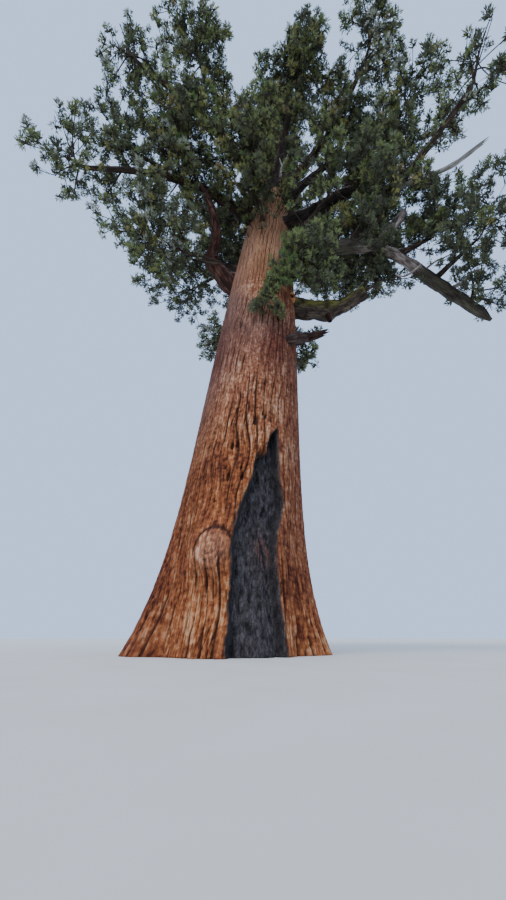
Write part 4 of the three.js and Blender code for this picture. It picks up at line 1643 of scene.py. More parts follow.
@dataclass
class TuftKit:
    """A few tufts of sprays modelled once, from which all are copied."""

    kind_count: int = 12
    core: int = 4
    sprays: int = 10
    pairs: int = 2
    alike: float = 0.9

    def __post_init__(self) -> None:
        """Models every kind of tuft, one unit in radius and growing along +Z."""
        self.kinds = [self.model(31 + kind) for kind in range(self.kind_count)]
        self.in_spray = 2 * self.pairs
        self.leaves = self.core + self.sprays * self.in_spray

    def model(self, seed: int) -> np.ndarray:
        """Args:
            seed: the kind's seed.

        Returns: its leaves, four corners each: foot, left, right and tip.
        """
        dice = Dice(seed)
        leaves = []
        for k in range(self.core):
            polar = math.radians(25 + 75 * k / self.core + 20 * (dice.roll() - 0.5))
            way, side = self.aim(polar, GOLDEN_TURN * k + dice.roll(), dice.roll())
            leaves.append(self.leaf(way * -0.25, way, side, 0.85 + 0.2 * dice.roll(), 0.38))
        for k in range(self.sprays):
            polar = math.radians(4 + 76 * ((k + 0.5) / self.sprays) ** 0.85 + 14 * (dice.roll() - 0.5))
            way, side = self.aim(polar, GOLDEN_TURN * k + 0.8 * dice.roll(), dice.roll())
            reach = (1.35 - 0.5 * (k + 0.5) / self.sprays) * (0.85 + 0.3 * dice.roll())
            leaves.append(self.leaf(way * reach * 0.42, way, side, reach * 0.58, 0.18))
            for j in range(2 * self.pairs - 1):
                hand = 1 if j % 2 else -1
                foot = way * reach * (0.26 + 0.14 * j + 0.08 * dice.roll())
                lean = math.radians(18 + 18 * dice.roll())
                along = unit(way * math.cos(lean) + hand * side * math.sin(lean))
                across = side * math.cos(lean) - hand * way * math.sin(lean)
                across = unit(across + 0.6 * (dice.roll() - 0.5) * np.cross(way, side))
                leaves.append(self.leaf(foot, along, across, 0.5 + 0.16 * dice.roll(), 0.25))
        return np.array(leaves)

    def aim(self, polar: float, turn: float, tilt: float) -> tuple[np.ndarray, np.ndarray]:
        """Args:
            polar: angle from the tuft's axis.
            turn: angle round the axis.
            tilt: half turns about the heading.

        Returns: a heading and a direction across it.
        """
        way = np.array([math.sin(polar) * math.cos(turn), math.sin(polar) * math.sin(turn), math.cos(polar)])
        level, over = cross_frames(way)
        return way, level * math.cos(math.pi * tilt) + over * math.sin(math.pi * tilt)

    def leaf(
        self, foot: np.ndarray, way: np.ndarray, side: np.ndarray, length: float, wide: float
    ) -> np.ndarray:
        """Args:
            foot: where the leaf starts.
            way: its heading.
            side: a direction across it.
            length: its length.
            wide: its width, as a share of the length.

        Returns: its four corners, folded a little along the middle.
        """
        half = side * length * wide / 2
        fold = np.cross(way, side) * length * wide * 0.2
        waist = foot + way * length * 0.52
        return np.array([foot, waist + half + fold, waist - half + fold, foot + way * length])

    def plant(self, name: str, tufts: Tufts, seed: int) -> Piece:
        """Copies tufts to their places as one joined piece, and deals out the tints by spray.

        Args:
            name: the piece's name.
            tufts: where the tufts grow.
            seed: seed of turns, kinds and tints.

        Returns: the piece.
        """
        rng = np.random.default_rng(seed)
        count = len(tufts.size)
        level, over = cross_frames(tufts.axis)
        roll = rng.random(count)[:, None] * 2 * math.pi
        side = level * np.cos(roll) + over * np.sin(roll)
        frames = np.stack([side, np.cross(tufts.axis, side), tufts.axis], axis=1)
        shapes = np.array(self.kinds)[rng.integers(0, self.kind_count, count)].reshape(count, -1, 3)
        corners = np.einsum("nki,nij->nkj", shapes * tufts.size[:, None, None], frames)
        corners += tufts.centre[:, None, :]
        first = np.arange(count * self.leaves)[:, None] * 4
        faces = (first + np.array([[0, 2, 3, 0, 3, 1]])).reshape(-1, 3)
        piece = Bench.weave(name, corners.reshape(-1, 3), faces, False)
        fringe = self.deal(tufts, rng)
        # the core leaves all take the darkest tint: painted shade deep in each tuft
        core = np.zeros((count, self.core), int)
        leaves = np.concatenate([core, np.repeat(fringe, self.in_spray, axis=1)], axis=1)
        piece.data.polygons.foreach_set("material_index", np.repeat(leaves.ravel(), 2).astype(np.int32))
        return piece

    def deal(self, tufts: Tufts, rng: np.random.Generator) -> np.ndarray:
        """Args:
            tufts: the tufts.
            rng: source of chance.

        Returns: the tint of each spray of each tuft; most sprays of a tuft share one.
        """
        shares = np.array([palette.value for palette in Palette], float)
        reach = np.cumsum(shares / shares.sum(axis=1, keepdims=True), axis=1)[tufts.palette]
        leading = (tufts.mood[:, None, None] > reach[:, None, :]).sum(axis=2)
        chance = rng.random((len(tufts.size), self.sprays))
        own = (chance[:, :, None] > reach[:, None, :]).sum(axis=2)
        return np.where(rng.random(own.shape) < self.alike, leading, own)


@dataclass
class Stalks:
    """Tapering twigs of one kind, gathered before they are joined."""

    sides: int
    paths: list[np.ndarray] = field(default_factory=list)
    radii: list[np.ndarray] = field(default_factory=list)

    def add(self, points: np.ndarray, thick: float, thin: float) -> None:
        """Args:
            points: points along the twig.
            thick: radius at its start.
            thin: radius at its end.
        """
        self.paths.append(points)
        self.radii.append(np.linspace(thick, thin, len(points)))

    def mesh(self) -> tuple[np.ndarray, np.ndarray, np.ndarray]:
        """Returns: corners, triangles and the grain's place at each corner; both ends are closed."""
        corners, faces, grain = [], [], []
        count = 0
        turns = np.linspace(0, 2 * math.pi, self.sides, endpoint=False)
        fan = np.array([(0, j, j + 1) for j in range(1, self.sides - 1)])
        for path, radius in zip(self.paths, self.radii):
            heading = unit(np.gradient(path, axis=0))
            level, over = cross_frames(heading)
            ring = level[:, None, :] * np.cos(turns)[:, None] + over[:, None, :] * np.sin(turns)[:, None]
            corners.append((path[:, None, :] + ring * radius[:, None, None]).reshape(-1, 3))
            rows = np.arange(len(path) - 1)[:, None] * self.sides
            k = np.arange(self.sides)[None, :]
            near = rows + k
            beside = rows + (k + 1) % self.sides
            above = self.sides
            walls = np.stack([near, beside, beside + above, near, beside + above, near + above], axis=-1)
            far_end = fan + (len(path) - 1) * self.sides
            faces += [walls.reshape(-1, 3) + count, fan[:, ::-1] + count, far_end + count]
            along = np.concatenate([[0], np.cumsum(np.linalg.norm(np.diff(path, axis=0), axis=1))])
            place = np.zeros((len(path), self.sides, 3))
            place[..., 0] = radius[:, None] * np.cos(turns)
            place[..., 1] = radius[:, None] * np.sin(turns)
            place[..., 2] = along[:, None] + count * 0.37
            grain.append(place.reshape(-1, 3))
            count += len(path) * self.sides
        return np.concatenate(corners), np.concatenate(faces), np.concatenate(grain)

    def piece(self, name: str, bark: bpy.types.Material, slot: str) -> None:
        """Joins the twigs into one piece and dresses it.

        Args:
            name: the piece's name.
            bark: its material.
            slot: the record's material slot.
        """
        corners, faces, grain = self.mesh()
        piece = Bench.weave(name, corners, faces, True)
        Bench.note(piece, grain=grain, furrow=np.zeros(len(corners)))
        Bench.finish(piece, slot, [bark])


def bow(start: np.ndarray, knee: np.ndarray, end: np.ndarray, count: int) -> np.ndarray:
    """Returns: points on the curve that leaves start towards knee and ends at end."""
    t = np.linspace(0, 1, count)[:, None]
    return start * (1 - t) ** 2 + knee * 2 * t * (1 - t) + end * t**2


@dataclass(frozen=True)
class PhotoView:
    """The photograph's viewpoint, and the outlines that the crown keeps to when seen from it."""

    place: Row = (0.8, -12.2, 0.45)
    pitch: float = 29.0
    focal: float = 338.0
    middle: Row = (253.0, 450.0)
    skyline: Table = (
        (205, 360), (193, 322), (158, 313), (142, 292), (119, 273), (108, 248), (98, 226), (92, 210),
        (61, 199), (56, 187), (36, 192), (18, 173), (19, 153), (23, 128), (36, 118), (52, 126), (61, 96),
        (84, 101), (103, 88), (99, 60), (104, 32), (119, 18), (136, 12), (153, 20), (157, 0), (150, -300),
        (230, -300), (211, 0), (215, 22), (226, 28), (233, 52), (244, 66), (240, 94), (258, 86), (262, 76),
        (248, 66), (262, 38), (278, 53), (293, 18), (306, 9), (322, 17), (336, 26), (346, 0), (340, -300),
        (420, -300), (395, 0), (397, 18), (409, 31), (405, 44), (430, 38), (453, 47), (460, 60), (473, 28),
        (494, 12), (503, 18), (520, -100), (700, -100), (700, 340), (470, 340), (455, 318), (425, 296),
        (380, 292), (366, 300), (345, 312), (312, 368), (290, 372), (262, 372), (205, 372),
    )
    sky_gap: Table = (
        (478, 97), (491, 110), (480, 132), (458, 134), (434, 160), (462, 166), (474, 180), (486, 160),
        (560, 130), (560, 80), (503, 88),
    )

    def spot(self, points: np.ndarray) -> tuple[np.ndarray, np.ndarray, np.ndarray]:
        """Args:
            points: points, along the last axis.

        Returns: the columns and rows of the picture where they appear, and their depths.
        """
        away = points - np.array(self.place)
        pitch = math.radians(self.pitch)
        depth = away[..., 1] * math.cos(pitch) + away[..., 2] * math.sin(pitch)
        high = away[..., 2] * math.cos(pitch) - away[..., 1] * math.sin(pitch)
        column = self.middle[0] + self.focal * away[..., 0] / depth
        return column, self.middle[1] - self.focal * high / depth, depth

    def within(self, corners: Table, column: np.ndarray, row: np.ndarray) -> np.ndarray:
        """Args:
            corners: the corners of an outline.
            column: columns of places in the picture.
            row: their rows.

        Returns: whether each lies within the outline.
        """
        inside = np.zeros(column.shape, bool)
        for (x0, y0), (x1, y1) in zip(corners, corners[1:] + corners[:1]):
            if y0 == y1:
                continue
            crosses = (row > min(y0, y1)) & (row <= max(y0, y1))
            inside ^= crosses & (column < x0 + (row - y0) * (x1 - x0) / (y1 - y0))
        return inside

    def allows(self, points: np.ndarray) -> np.ndarray:
        """Args:
            points: where foliage would grow.

        Returns: whether it keeps to the crown's outline in the picture.
        """
        column, row, _ = self.spot(points)
        column = column + 2.5 * np.sin(points[..., 0] * 5.1 + points[..., 2] * 3.3)
        row = row + 2.5 * np.sin(points[..., 0] * 4.3 - points[..., 2] * 4.7 + 1)
        return self.within(self.skyline, column, row) & ~self.within(self.sky_gap, column, row)


@dataclass(frozen=True)
class BareTwig:
    """A thin bare branch: its wood, its radii at both ends, and points along it."""

    wood: Wood
    thick: float
    thin: float
    points: Table


BARE_TWIGS = (
    BareTwig(Wood.PALE, 0.09, 0.03, (
        (9.72, -0.98, 17.85), (9.6, -1.5, 17.45), (9.18, -1.33, 17.13), (8.66, -1.17, 16.86),
        (8.19, -1.25, 17.0),
    )),
    BareTwig(Wood.PALE, 0.06, 0.025, (
        (9.9, -0.9, 17.7), (10.22, -1.7, 17.4), (10.6, -1.8, 17.5), (10.99, -1.87, 17.71),
    )),
    BareTwig(Wood.PALE, 0.11, 0.04, (
        (11.3, -0.6, 16.7), (11.66, -1.17, 16.45), (12.07, -1.42, 16.9), (12.69, -1.52, 17.08),
    )),
    BareTwig(Wood.BLEACHED, 0.1, 0.04, (
        (2.54, -1.64, 26.36), (2.67, -2.01, 27.04), (2.99, -2.26, 27.49), (3.12, -2.48, 27.89),
    )),
    BareTwig(Wood.DEAD, 0.3, 0.24, (
        (1.9, -0.9, 12.1), (2.35, -1.22, 12.12), (2.85, -0.95, 12.65), (3.3, -0.55, 13.1),
    )),
    BareTwig(Wood.BLEACHED, 0.06, 0.03, ((2.67, -2.01, 27.04), (2.5, -2.25, 27.5))),
    BareTwig(Wood.LIVING, 0.09, 0.04, (
        (6.6, -0.5, 16.4), (6.83, -0.64, 17.14), (7.05, -0.75, 17.33), (7.32, -0.8, 17.42),
    )),
    BareTwig(Wood.LIVING, 0.12, 0.06, (
        (6.05, -2.38, 18.6), (6.65, -2.58, 18.58), (7.11, -2.73, 18.85), (7.36, -3.05, 19.43),
        (7.47, -3.62, 20.45),
    )),
    BareTwig(Wood.LIVING, 0.06, 0.03, ((6.12, -2.45, 18.9), (6.05, -2.9, 18.9), (6.08, -3.23, 19.34))),
    BareTwig(Wood.LIVING, 0.08, 0.035, (
        (6.0, -2.3, 18.4), (5.6, -2.25, 17.95), (5.33, -2.14, 17.78), (4.82, -2.04, 17.6),
    )),
)


@dataclass(frozen=True)
class Lane:
    """A length of wood that shows uncovered, by points along it and how far it keeps clear."""

    path: np.ndarray
    reach: np.ndarray

    @staticmethod
    def along(limb: str, start: float, end: float, margin: float) -> "Lane":
        """Returns: the lane of a limb between two shares of its length."""
        shares = np.linspace(start, end, 24)
        return Lane(limb_points(limb, shares), LIMBS[limb].radius(np.minimum(shares, 1)) + margin)

    def covered(self, view: PhotoView, points: np.ndarray) -> np.ndarray:
        """Args:
            view: the photograph's viewpoint.
            points: where foliage would grow.

        Returns: whether it would stand in front of the wood.
        """
        column, row, depth = view.spot(points)
        at_column, at_row, at_depth = view.spot(self.path)
        apart = np.hypot(column[:, None] - at_column, row[:, None] - at_row)
        hides = (apart < view.focal * self.reach / at_depth) & (depth[:, None] < at_depth + 0.3)
        return hides.any(axis=1)


# Limbs that stay in view, each from one share of its length to another, and by what margin.
OPEN_LIMBS = (
    ("right_centre", 0.45, 0.85, 0.1),
    ("left_bend", 0.0, 0.8, 0.3),
    ("first_limb", 0.2, 1.0, 0.35),
    ("arch_limb", 0.64, 1.1, 0.2),
    ("arch_riser", 0.2, 1.0, 0.1),
    ("broken_stub", 0.75, 1.0, 0.2),
    ("dead_spar", 0.55, 1.0, 0.3),
    ("snag", 0.0, 1.0, 0.35),
    ("right_long", 0.22, 0.82, 0.3),
    ("right_top", 0.25, 0.5, 0.0),
    ("centre_rise", 0.25, 0.8, 0.05),
)
# The uncovered strip up the trunk, by height: its share of the radius, and how far it shifts aside.
STRIP_WIDE = ((0, 0.62), (17.8, 0.62), (19.3, 0.34), (21, 0.24), (22.5, 0.1))
STRIP_ASIDE = ((12.8, 0), (13.6, -0.36), (18.0, -0.36), (20.0, 0))


def open_lanes() -> list[Lane]:
    """Returns: every length of wood that stays in view, the trunk's and its knot's first."""
    heights = np.linspace(0, 22.5, 46)
    radius = TRUNK.radius(heights)
    shift = follow(heights, STRIP_ASIDE) * radius
    strip = TRUNK.axis(heights) + shift[:, None] * np.array([1.0, 0, 0])
    return [
        Lane(strip, radius * follow(heights, STRIP_WIDE)),
        Lane(np.array([(2.75, -1.05, 15.6), (2.45, -1.5, 14.9)]), np.array([0.72, 0.5])),
        *(Lane.along(*row) for row in OPEN_LIMBS),
        *(Lane(np.array(twig.points), np.full(len(twig.points), 0.22)) for twig in BARE_TWIGS),
    ]


# Hanging sprigs in front of the trunk, by points along them.
SPRIGS = (
    ((1.9, -2.75, 15.2), (1.7, -2.75, 14.3), (1.4, -2.5, 13.55), (1.05, -2.28, 13.05)),
    ((2.2, -2.6, 15.0), (1.95, -2.4, 14.0), (1.95, -2.1, 13.1)),
)


@dataclass(frozen=True)
class Habit:
    """How shoots and tufts are carried on from a twig, a bough or the trunk."""

    shoots_per_metre: float = 4.2
    shoot: float = 0.95
    lean_least: float = 32.0
    lean_most: float = 74.0
    lift: float = 0.32
    first: float = 0.28
    tuft_least: float = 0.22
    tuft_most: float = 0.36
    tuft_shares: Row = (0.3, 0.55, 0.8, 1.0)
    shoot_thick: float = 0.022
    tuft_twig: float = 0.011
    hanging: bool = False


HEART = Habit(tuft_least=0.42, tuft_most=0.62, tuft_shares=(1.0,))
SIDE = Habit(shoot=1.25, lean_least=50, lean_most=88, lift=0.45, first=0.0)
SPUR = Habit(shoots_per_metre=4.0, shoot=0.75, first=0.3)
SPRIG = Habit(shoots_per_metre=10.0, shoot=0.26, first=0.12, tuft_least=0.16, tuft_most=0.26, hanging=True)
CREST = Habit(shoots_per_metre=22.0, shoot=2.1, lean_least=70, lean_most=95, lift=0.3, first=0.0)
RUFF = Habit(shoots_per_metre=18.0, shoot=2.3, lean_least=75, lean_most=105, lift=0.15, first=0.0)


@dataclass
class Sprouts:
    """Twigs, their shoots, and what is told of each tuft, before those without room are dropped."""

    twigs: list[tuple[np.ndarray, float]] = field(default_factory=list)
    shoots: list[np.ndarray] = field(default_factory=list)
    twig: list[int] = field(default_factory=list)
    share: list[float] = field(default_factory=list)
    node: list[int] = field(default_factory=list)
    owner: list[int] = field(default_factory=list)
    foot: list[np.ndarray] = field(default_factory=list)
    centre: list[np.ndarray] = field(default_factory=list)
    axis: list[np.ndarray] = field(default_factory=list)
    size: list[float] = field(default_factory=list)
    palette: list[int] = field(default_factory=list)
    mood: list[float] = field(default_factory=list)
    group: list[str] = field(default_factory=list)
    hanging: list[bool] = field(default_factory=list)


@dataclass
class Foliage:
    """Stems, twigs and leaves of every mass, and the shoots along the boughs."""

    crown: Crown
    view: PhotoView
    heart_tufts: float = 7.0
    chunk: int = 2250
    box_margin: float = 0.05
    stem_points: int = 12
    spurs_per_metre: float = 1.6
    twig_end: float = 0.018
    finest: float = 0.006

    def __post_init__(self) -> None:
        """Lays out the tufts' kit and a place for each kind of wood."""
        self.kit = TuftKit()
        self.stems = Stalks(10)
        self.main = Stalks(6)
        self.shoots = Stalks(3)
        self.fine = Stalks(3)
        self.sprouts = Sprouts()
        self.low = np.array(cad_box[0]) - self.box_margin
        self.high = np.array(cad_box[1]) + self.box_margin

    def trim(self, line: np.ndarray) -> np.ndarray:
        """Returns: a twig's points up to where it leaves the crown's outline."""
        out = np.flatnonzero(~self.view.allows(line))
        return line[: out[0]] if len(out) else line

    def fringe(
        self, line: np.ndarray, habit: Habit, plan: MassPlan, rng: np.random.Generator, thick: float = 0.0
    ) -> None:
        """Grows shoots along a twig, and tufts along each shoot.

        Args:
            line: points along the twig.
            habit: how shoots are carried on.
            plan: palette, fullness and group.
            rng: source of chance.
            thick: the twig's radius at its start, where it is drawn up to its last shoot.
        """
        twig = len(self.sprouts.twigs) if thick else -1
        if thick:
            self.sprouts.twigs.append((line, thick))
        steps = np.linalg.norm(np.diff(line, axis=0), axis=1)
        along = np.concatenate([[0], np.cumsum(steps)])
        length = float(along[-1]) * (1 - habit.first)
        count = max(1, round(length * habit.shoots_per_metre))
        phase = rng.random() * 6.28
        for j in range(count):
            share = habit.first + (1 - habit.first) * (j + 0.2 + 0.8 * rng.random()) / count
            at = np.array([np.interp(share * along[-1], along, line[:, k]) for k in range(3)])
            k = min(int(np.searchsorted(along, share * along[-1])), len(line) - 1)
            heading = unit(line[k] - line[max(k - 1, 0)] + 1e-6)
            level, over = cross_frames(heading)
            turn = GOLDEN_TURN * j + phase
            lean = math.radians(habit.lean_least + (habit.lean_most - habit.lean_least) * rng.random())
            around = level * math.cos(turn) + over * math.sin(turn)
            way = unit(heading * math.cos(lean) + around * math.sin(lean) + UP * habit.lift)
            reach = habit.shoot * (0.7 + 0.6 * rng.random()) * (1.1 - 0.2 * share)
            tip = at + way * reach
            knee = at + unit(way - UP * 0.35) * reach * 0.5
            self.shoot(bow(at, knee, tip, 5), way, habit, plan, rng, twig, share)

    def shoot(
        self,
        path: np.ndarray,
        way: np.ndarray,
        habit: Habit,
        plan: MassPlan,
        rng: np.random.Generator,
        twig: int = -1,
        place: float = 0.0,
    ) -> None:
        """Adds one shoot with its tufts.

        Args:
            path: points along the shoot.
            way: its heading.
            habit: how tufts are carried on.
            plan: palette and group.
            rng: source of chance.
            twig: number of the twig that it grows on, or -1.
            place: its share of that twig's length.
        """
        found = self.sprouts
        drift = np.sin(path[-1] @ np.array([1.3, 0.9, 1.1]) + 1)
        drift = drift * np.sin(path[-1] @ np.array([-0.8, 1.5, 1.2]))
        mood = 0.5 + 0.42 * drift + 0.3 * (rng.random() - 0.5)
        for share in habit.tuft_shares:
            k = min(int(share * (len(path) - 1) + 0.5), len(path) - 1)
            aside = rng.normal(0, 0.2, 3) * (1.2 - share)
            found.owner.append(len(found.shoots))
            found.twig.append(twig)
            found.share.append(place)
            found.node.append(k)
            found.foot.append(path[max(k - 1, 0)])
            found.centre.append(path[k] + aside + UP * 0.03)
            found.axis.append(way * 0.7 + UP * 0.6 + rng.normal(0, 0.28, 3))
            found.size.append(habit.tuft_least + (habit.tuft_most - habit.tuft_least) * rng.random() ** 1.4)
            found.palette.append(list(Palette).index(plan.palette))
            # tufts near the shoot's base get darker tints and those at its tip lighter: painted shade inside
            # the crown
            shade = mood * (0.55 + 0.45 * share) + 0.2 * (rng.random() - 0.5)
            found.mood.append(min(max(shade, 0.001), 0.999))
            found.group.append(plan.group)
            found.hanging.append(habit.hanging)
        found.shoots.append(path)

    def grow_mass(self, mass: Mass, seed: int) -> None:
        """Grows a mass from its stem to its tufts.

        Args:
            mass: the mass.
            seed: the seed that the source gives it.
        """
        rng = np.random.default_rng(seed)
        stem = bow(*mass.stem, self.stem_points)
        self.stems.add(stem, mass.thick * mass.plan.stem, mass.thick * 0.25)
        habit = Habit(shoots_per_metre=Habit.shoots_per_metre * mass.plan.fill)
        for number, (middle, end) in enumerate(self.crown.twigs(mass, seed)):
            node = 5 + (number * 5) % 7
            knee = middle - UP * 0.25 + rng.normal(0, 0.15, 3)
            line = self.trim(bow(stem[node], knee, end + UP * 0.1, 9))
            if len(line) < 3:
                continue
            self.fringe(line, habit, mass.plan, rng, mass.thick * (0.75 - 0.055 * node))
        heart = self.crown.heart(mass)
        count = round(heart**3 * self.heart_tufts * mass.plan.fill)
        shade = replace(mass.plan, palette=Palette.DEEP)
        for _ in range(count):
            way = unit(rng.normal(0, 1, 3))
            start = stem[int(rng.integers(4, self.stem_points))]
            end = mass.centre + way * heart * rng.random() ** 0.5
            self.shoot(bow(start, (start + end) / 2 - UP * 0.05, end, 5), way, HEART, shade, rng)

    def clothe(self) -> None:
        """Grows shoots along the boughs and up the top of the trunk."""
        clothed = [*BOUGHS, "broken_stub"]
        for number, name in enumerate(clothed):
            limb = LIMBS[name]
            if limb.leafy >= 1:
                continue
            rng = np.random.default_rng(900 + number)
            plan = MASSES.get(name, MASSES["arch_riser"])
            dense = limb.dense * (0.4 + 0.6 * plan.fill)
            line = limb_points(name, np.linspace(limb.leafy, limb.leafy_end, 14))
            self.fringe(line, replace(SIDE, shoots_per_metre=Habit.shoots_per_metre * dense), plan, rng)
            length = float(np.linalg.norm(line[-1] - line[0]))
            for _ in range(round(length * self.spurs_per_metre * dense)):
                share = limb.leafy + (limb.leafy_end - limb.leafy) * rng.random()
                self.spur(name, share, plan, rng)
        rng = np.random.default_rng(980)
        for points in SPRIGS:
            self.fringe(np.array(points), SPRIG, MASSES["front_right"], rng, 0.03)
        rng = np.random.default_rng(990)
        self.fringe(TRUNK.axis(np.linspace(22, 36, 14)), CREST, MASSES["top"], rng)
        self.fringe(TRUNK.axis(np.linspace(19.6, 25.5, 8)), RUFF, MASSES["left_bend"], rng)

    def spur(self, name: str, share: float, plan: MassPlan, rng: np.random.Generator) -> None:
        """Grows a stronger side branch out of a bough, with shoots of its own.

        Args:
            name: the bough's name.
            share: where it stands on the bough.
            plan: palette and group.
            rng: source of chance.
        """
        foot = limb_points(name, share)
        heading = limb_heading(name, share)
        level, over = cross_frames(heading)
        turn = rng.random() * 2 * math.pi
        around = level * math.cos(turn) + over * math.sin(turn)
        way = unit(heading * 0.6 + around + UP * 0.5)
        reach = 1.3 + 0.9 * rng.random()
        end = foot + way * reach
        line = self.trim(bow(foot, foot + unit(way - UP * 0.4) * reach * 0.5, end, 8))
        if len(line) < 3:
            return
        self.fringe(line, SPUR, plan, rng, 0.05)

    def settle(self) -> Tufts:
        """Drops tufts without room, and joins the rest to their shoots and twigs.

        Returns: the tufts that stay.
        """
        found = self.sprouts
        rows = (found.centre, unit(np.array(found.axis)), found.size, found.palette, found.mood)
        tufts = Tufts(*(np.array(row) for row in rows))
        margin = tufts.size[:, None] * 0.9
        kept = np.all((tufts.centre - margin > self.low) & (tufts.centre + margin < self.high), axis=1)
        kept &= self.view.allows(tufts.centre)
        for number in np.flatnonzero(self.crown.span_owner == ""):
            start, end = self.crown.span_from[number], self.crown.span_to[number]
            reach = self.crown.span_radius[number] + 0.3 * tufts.size
            kept &= point_gaps(tufts.centre, start, end) > reach
        hanging = np.array(found.hanging)
        trunk_lane, knot_lane, *limb_lanes = open_lanes()
        kept &= ~knot_lane.covered(self.view, tufts.centre)
        for lane in (trunk_lane, *limb_lanes):
            kept &= hanging | ~lane.covered(self.view, tufts.centre)
        self.join(tufts.centre, kept)
        self.groups = np.array(found.group)[kept]
        return tufts.pick(kept)

    def join(self, centres: np.ndarray, kept: np.ndarray) -> None:
        """Adds the shoots, twigs and finest twigs, each as far as its last tuft.

        Args:
            centres: the middles of all tufts.
            kept: which tufts stay.
        """
        found = self.sprouts
        ends = np.zeros(len(found.shoots), int)
        np.maximum.at(ends, np.array(found.owner)[kept], np.array(found.node)[kept])
        for number in np.flatnonzero(ends):
            self.shoots.add(found.shoots[number][: ends[number] + 1], Habit.shoot_thick, Habit.tuft_twig)
        reach = np.zeros(len(found.twigs) + 1)
        np.maximum.at(reach, np.array(found.twig)[kept], np.array(found.share)[kept])
        for share, (line, thick) in zip(reach, found.twigs):
            last = math.ceil(share * (len(line) - 1)) + 1
            if share > 0:
                self.main.add(line[: max(last, 2)], thick, self.twig_end)
        for foot, centre in zip(np.array(found.foot)[kept], centres[kept]):
            self.fine.add(np.array([foot, centre]), Habit.tuft_twig, self.finest)

    def build(self) -> None:
        """Grows everything, joins the wood and the leaves, each kind apart, and dresses them."""
        for number, mass in enumerate(self.crown.masses):
            self.grow_mass(mass, RULE.first_seed + RULE.seed_step * number)
        self.clothe()
        tufts = self.settle()
        log.info("%d tufts", len(tufts.size))
        bark = LimbBark("twig bark", "241d19", "40342b", "5e4f43", "625c52").make()
        self.stems.piece("mass_stems", bark, "limb_bark")
        self.main.piece("main_twigs", bark, "limb_bark")
        self.shoots.piece("shoots", bark, "limb_bark")
        self.fine.piece("fine_twigs", bark, "limb_bark")
        greens = [LeafGreen(tint).make() for tint in Tint]
        for number, group in enumerate(dict.fromkeys(plan.group for plan in MASSES.values())):
            chosen = np.flatnonzero(self.groups == group)
            nodes = [f"foliage_{name}" for name, plan in MASSES.items() if plan.group == group]
            parts = math.ceil(len(chosen) / self.chunk)
            for part, some in enumerate(np.array_split(chosen, parts)):
                name = f"leaves_{group}_{part + 1}"
                piece = self.kit.plant(name, tufts.pick(some), 500 + 10 * number + part)
                Bench.finish(piece, "foliage", greens, *nodes)


@dataclass(frozen=True)
class Stub:
    """A short broken stub: its lower end, its heading, and the distance and radius of each ring.

    The last rings turn back inside the end, which leaves it hollow.
    """

    foot: Row
    way: Row
    rings: Table
    wood: Wood


STUBS = {
    "trunk_knot": Stub(
        (2.5, -0.45, 15.75), (0.4, -0.85, -0.25),
        ((0, 0.34), (0.45, 0.3), (0.62, 0.25), (0.68, 0.2), (0.64, 0.11), (0.5, 0.08)), Wood.KNOT,
    ),
    "knot_collar": Stub(
        (2.55, -0.5, 15.5), (-0.25, -0.75, -0.75),
        ((0, 0.3), (0.5, 0.26), (0.9, 0.2), (1.05, 0.14), (1.1, 0.08)), Wood.PALE,
    ),
    "bend_stub": Stub(
        (-1.2, -0.66, 19.45), (-1, 0.02, -0.05),
        ((0, 0.34), (0.5, 0.24), (0.9, 0.16), (1.0, 0.12), (0.95, 0.06)), Wood.DEAD,
    ),
    "limb_stub": Stub(
        (4.85, 0.2, 15.85), (0.05, -0.05, -1),
        ((0, 0.2), (0.4, 0.16), (0.68, 0.15), (0.72, 0.12), (0.7, 0.07), (0.6, 0.05)), Wood.DEAD,
    ),
}


@dataclass
class Details:
    """Small wood: bare branches, knots and stubs."""

    finishes: dict[Wood, bpy.types.Material]
    sides: int = 12
    finer: int = 2
    flat_from: float = 0.8

    def bare_twigs(self) -> None:
        """Joins the bare branches of each kind of wood into one piece."""
        for wood in dict.fromkeys(twig.wood for twig in BARE_TWIGS):
            stalks = Stalks(6)
            for twig in BARE_TWIGS:
                if twig.wood is wood:
                    points = np.array(twig.points)
                    t = np.linspace(0, 1, len(points))
                    fine = np.linspace(0, 1, 4 * len(points))
                    eased = np.stack([np.interp(fine, t, points[:, k]) for k in range(3)], axis=1)
                    eased[1:-1] = (eased[:-2] + eased[1:-1] * 2 + eased[2:]) / 4
                    stalks.add(eased, twig.thick, twig.thin)
            stalks.piece(f"bare_twigs_{wood.value}", self.finishes[wood], "dead_wood")

    def stub(self, name: str, stub: Stub) -> None:
        """Models a short broken stub.

        Args:
            name: the piece's name.
            stub: its sizes.
        """
        heights, radii = np.array(stub.rings, float).T
        piece = Bench.column(name, self.sides, heights, radii)
        Bench.refine(piece, self.finer)
        Bench.shade(piece, self.flat_from)
        at = Bench.corners(piece)
        heading = unit(np.array(stub.way, float))
        level, over = cross_frames(heading)
        bump = 1 + 0.06 * np.sin(at[:, 0] * 31 + at[:, 1] * 17) * np.sin(at[:, 2] * 23)
        around = level * at[:, 0:1] + over * at[:, 1:2]
        Bench.place(piece, np.array(stub.foot) + heading * at[:, 2:3] + around * bump[:, None])
        # the hollow middle of the broken end is marked darker: painted shade
        sunk = (float(heights.max()) - at[:, 2]) / 0.1 > 0.3
        middle = np.hypot(at[:, 0], at[:, 1]) < radii[-1] * 1.3
        Bench.note(piece, grain=at, furrow=np.where(middle & sunk, 1.0, 0.0))
        Bench.finish(piece, "dead_wood", [self.finishes[stub.wood]])

    def build(self) -> None:
        """Makes all of them."""
        self.bare_twigs()
        for name, stub in STUBS.items():
            self.stub(name, stub)


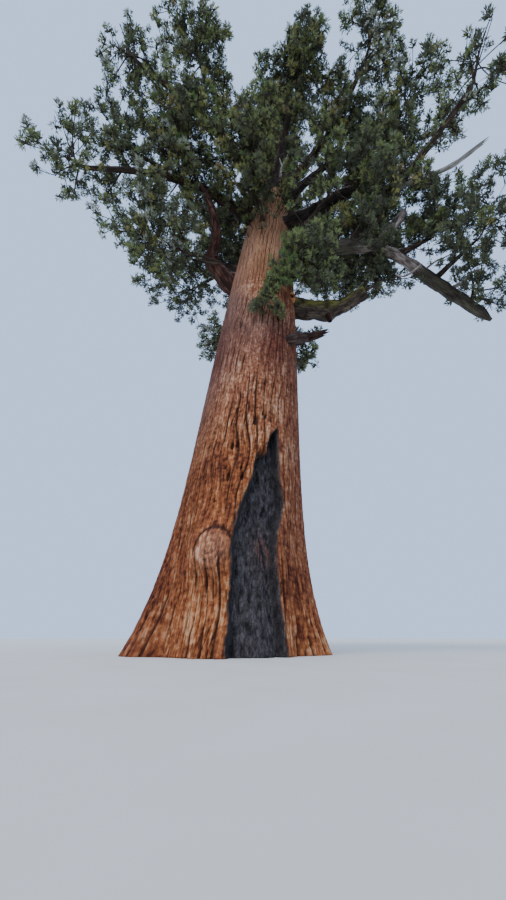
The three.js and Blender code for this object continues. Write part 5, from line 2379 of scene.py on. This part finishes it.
@dataclass(frozen=True)
class Studio:
    """Plain pale floor, soft light and the photograph's viewpoint."""

    sensor: float = 36.0
    picture_height: float = 900.0
    floor_radius: float = 160.0
    floor_tone: str = "cfcac2"
    floor_speck: str = "d4cfc8"
    sky_tone: str = "aec6ea"
    sky_strength: float = 1.65
    sun_strength: float = 2.1
    sun_turn: Row = (38.0, 0.0, -32.0)
    sun_spread: float = 50.0

    def build(self, view: PhotoView) -> None:
        """Makes the camera, the lights and the floor.

        Args:
            view: the photograph's viewpoint.
        """
        lens = bpy.data.cameras.new("photo camera")
        lens.lens = self.sensor * view.focal / self.picture_height
        lens.sensor_width = self.sensor
        lens.clip_end = 500
        camera = bpy.data.objects.new("photo camera", lens)
        camera.location = view.place
        camera.rotation_euler = (math.radians(90 + view.pitch), 0, 0)
        bpy.context.scene.collection.objects.link(camera)
        bpy.context.scene.camera = camera
        Bench.clear()
        bpy.ops.mesh.primitive_circle_add(vertices=96, radius=self.floor_radius, fill_type="NGON")
        floor = bpy.context.object
        floor.name = "studio_floor"
        material, wires, shader = new_material("studio floor", 0.9)
        speck = wires.noise(wires.add("ShaderNodeTexCoord").outputs["Object"], 0.8, 2.0)
        tone = wires.ramp(speck, [(0.3, self.floor_tone), (0.7, self.floor_speck)])
        wires.tree.links.new(tone, shader.inputs["Base Color"])
        floor.data.materials.append(material)
        sun = bpy.data.lights.new("soft sun", "SUN")
        sun.energy = self.sun_strength
        sun.angle = math.radians(self.sun_spread)
        lamp = bpy.data.objects.new("soft sun", sun)
        lamp.rotation_euler = tuple(math.radians(a) for a in self.sun_turn)
        bpy.context.scene.collection.objects.link(lamp)
        world = bpy.data.worlds.new("soft sky")
        world.use_nodes = True
        back = world.node_tree.nodes["Background"]
        back.inputs["Color"].default_value = paint(self.sky_tone)
        back.inputs["Strength"].default_value = self.sky_strength
        bpy.context.scene.world = world


def main() -> None:
    """Builds every part of the scene in order."""
    view = PhotoView()
    Studio().build(view)
    TrunkPiece(TRUNK, FireScar()).build()
    log.info("trunk is done")
    limbs = LimbPieces()
    limbs.build()
    Details(limbs.finishes).build()
    log.info("limbs are done")
    Foliage(Crown(), view).build()
    log.info("foliage is done")
    bpy.context.view_layer.update()


if __name__ == "__main__":
    main()
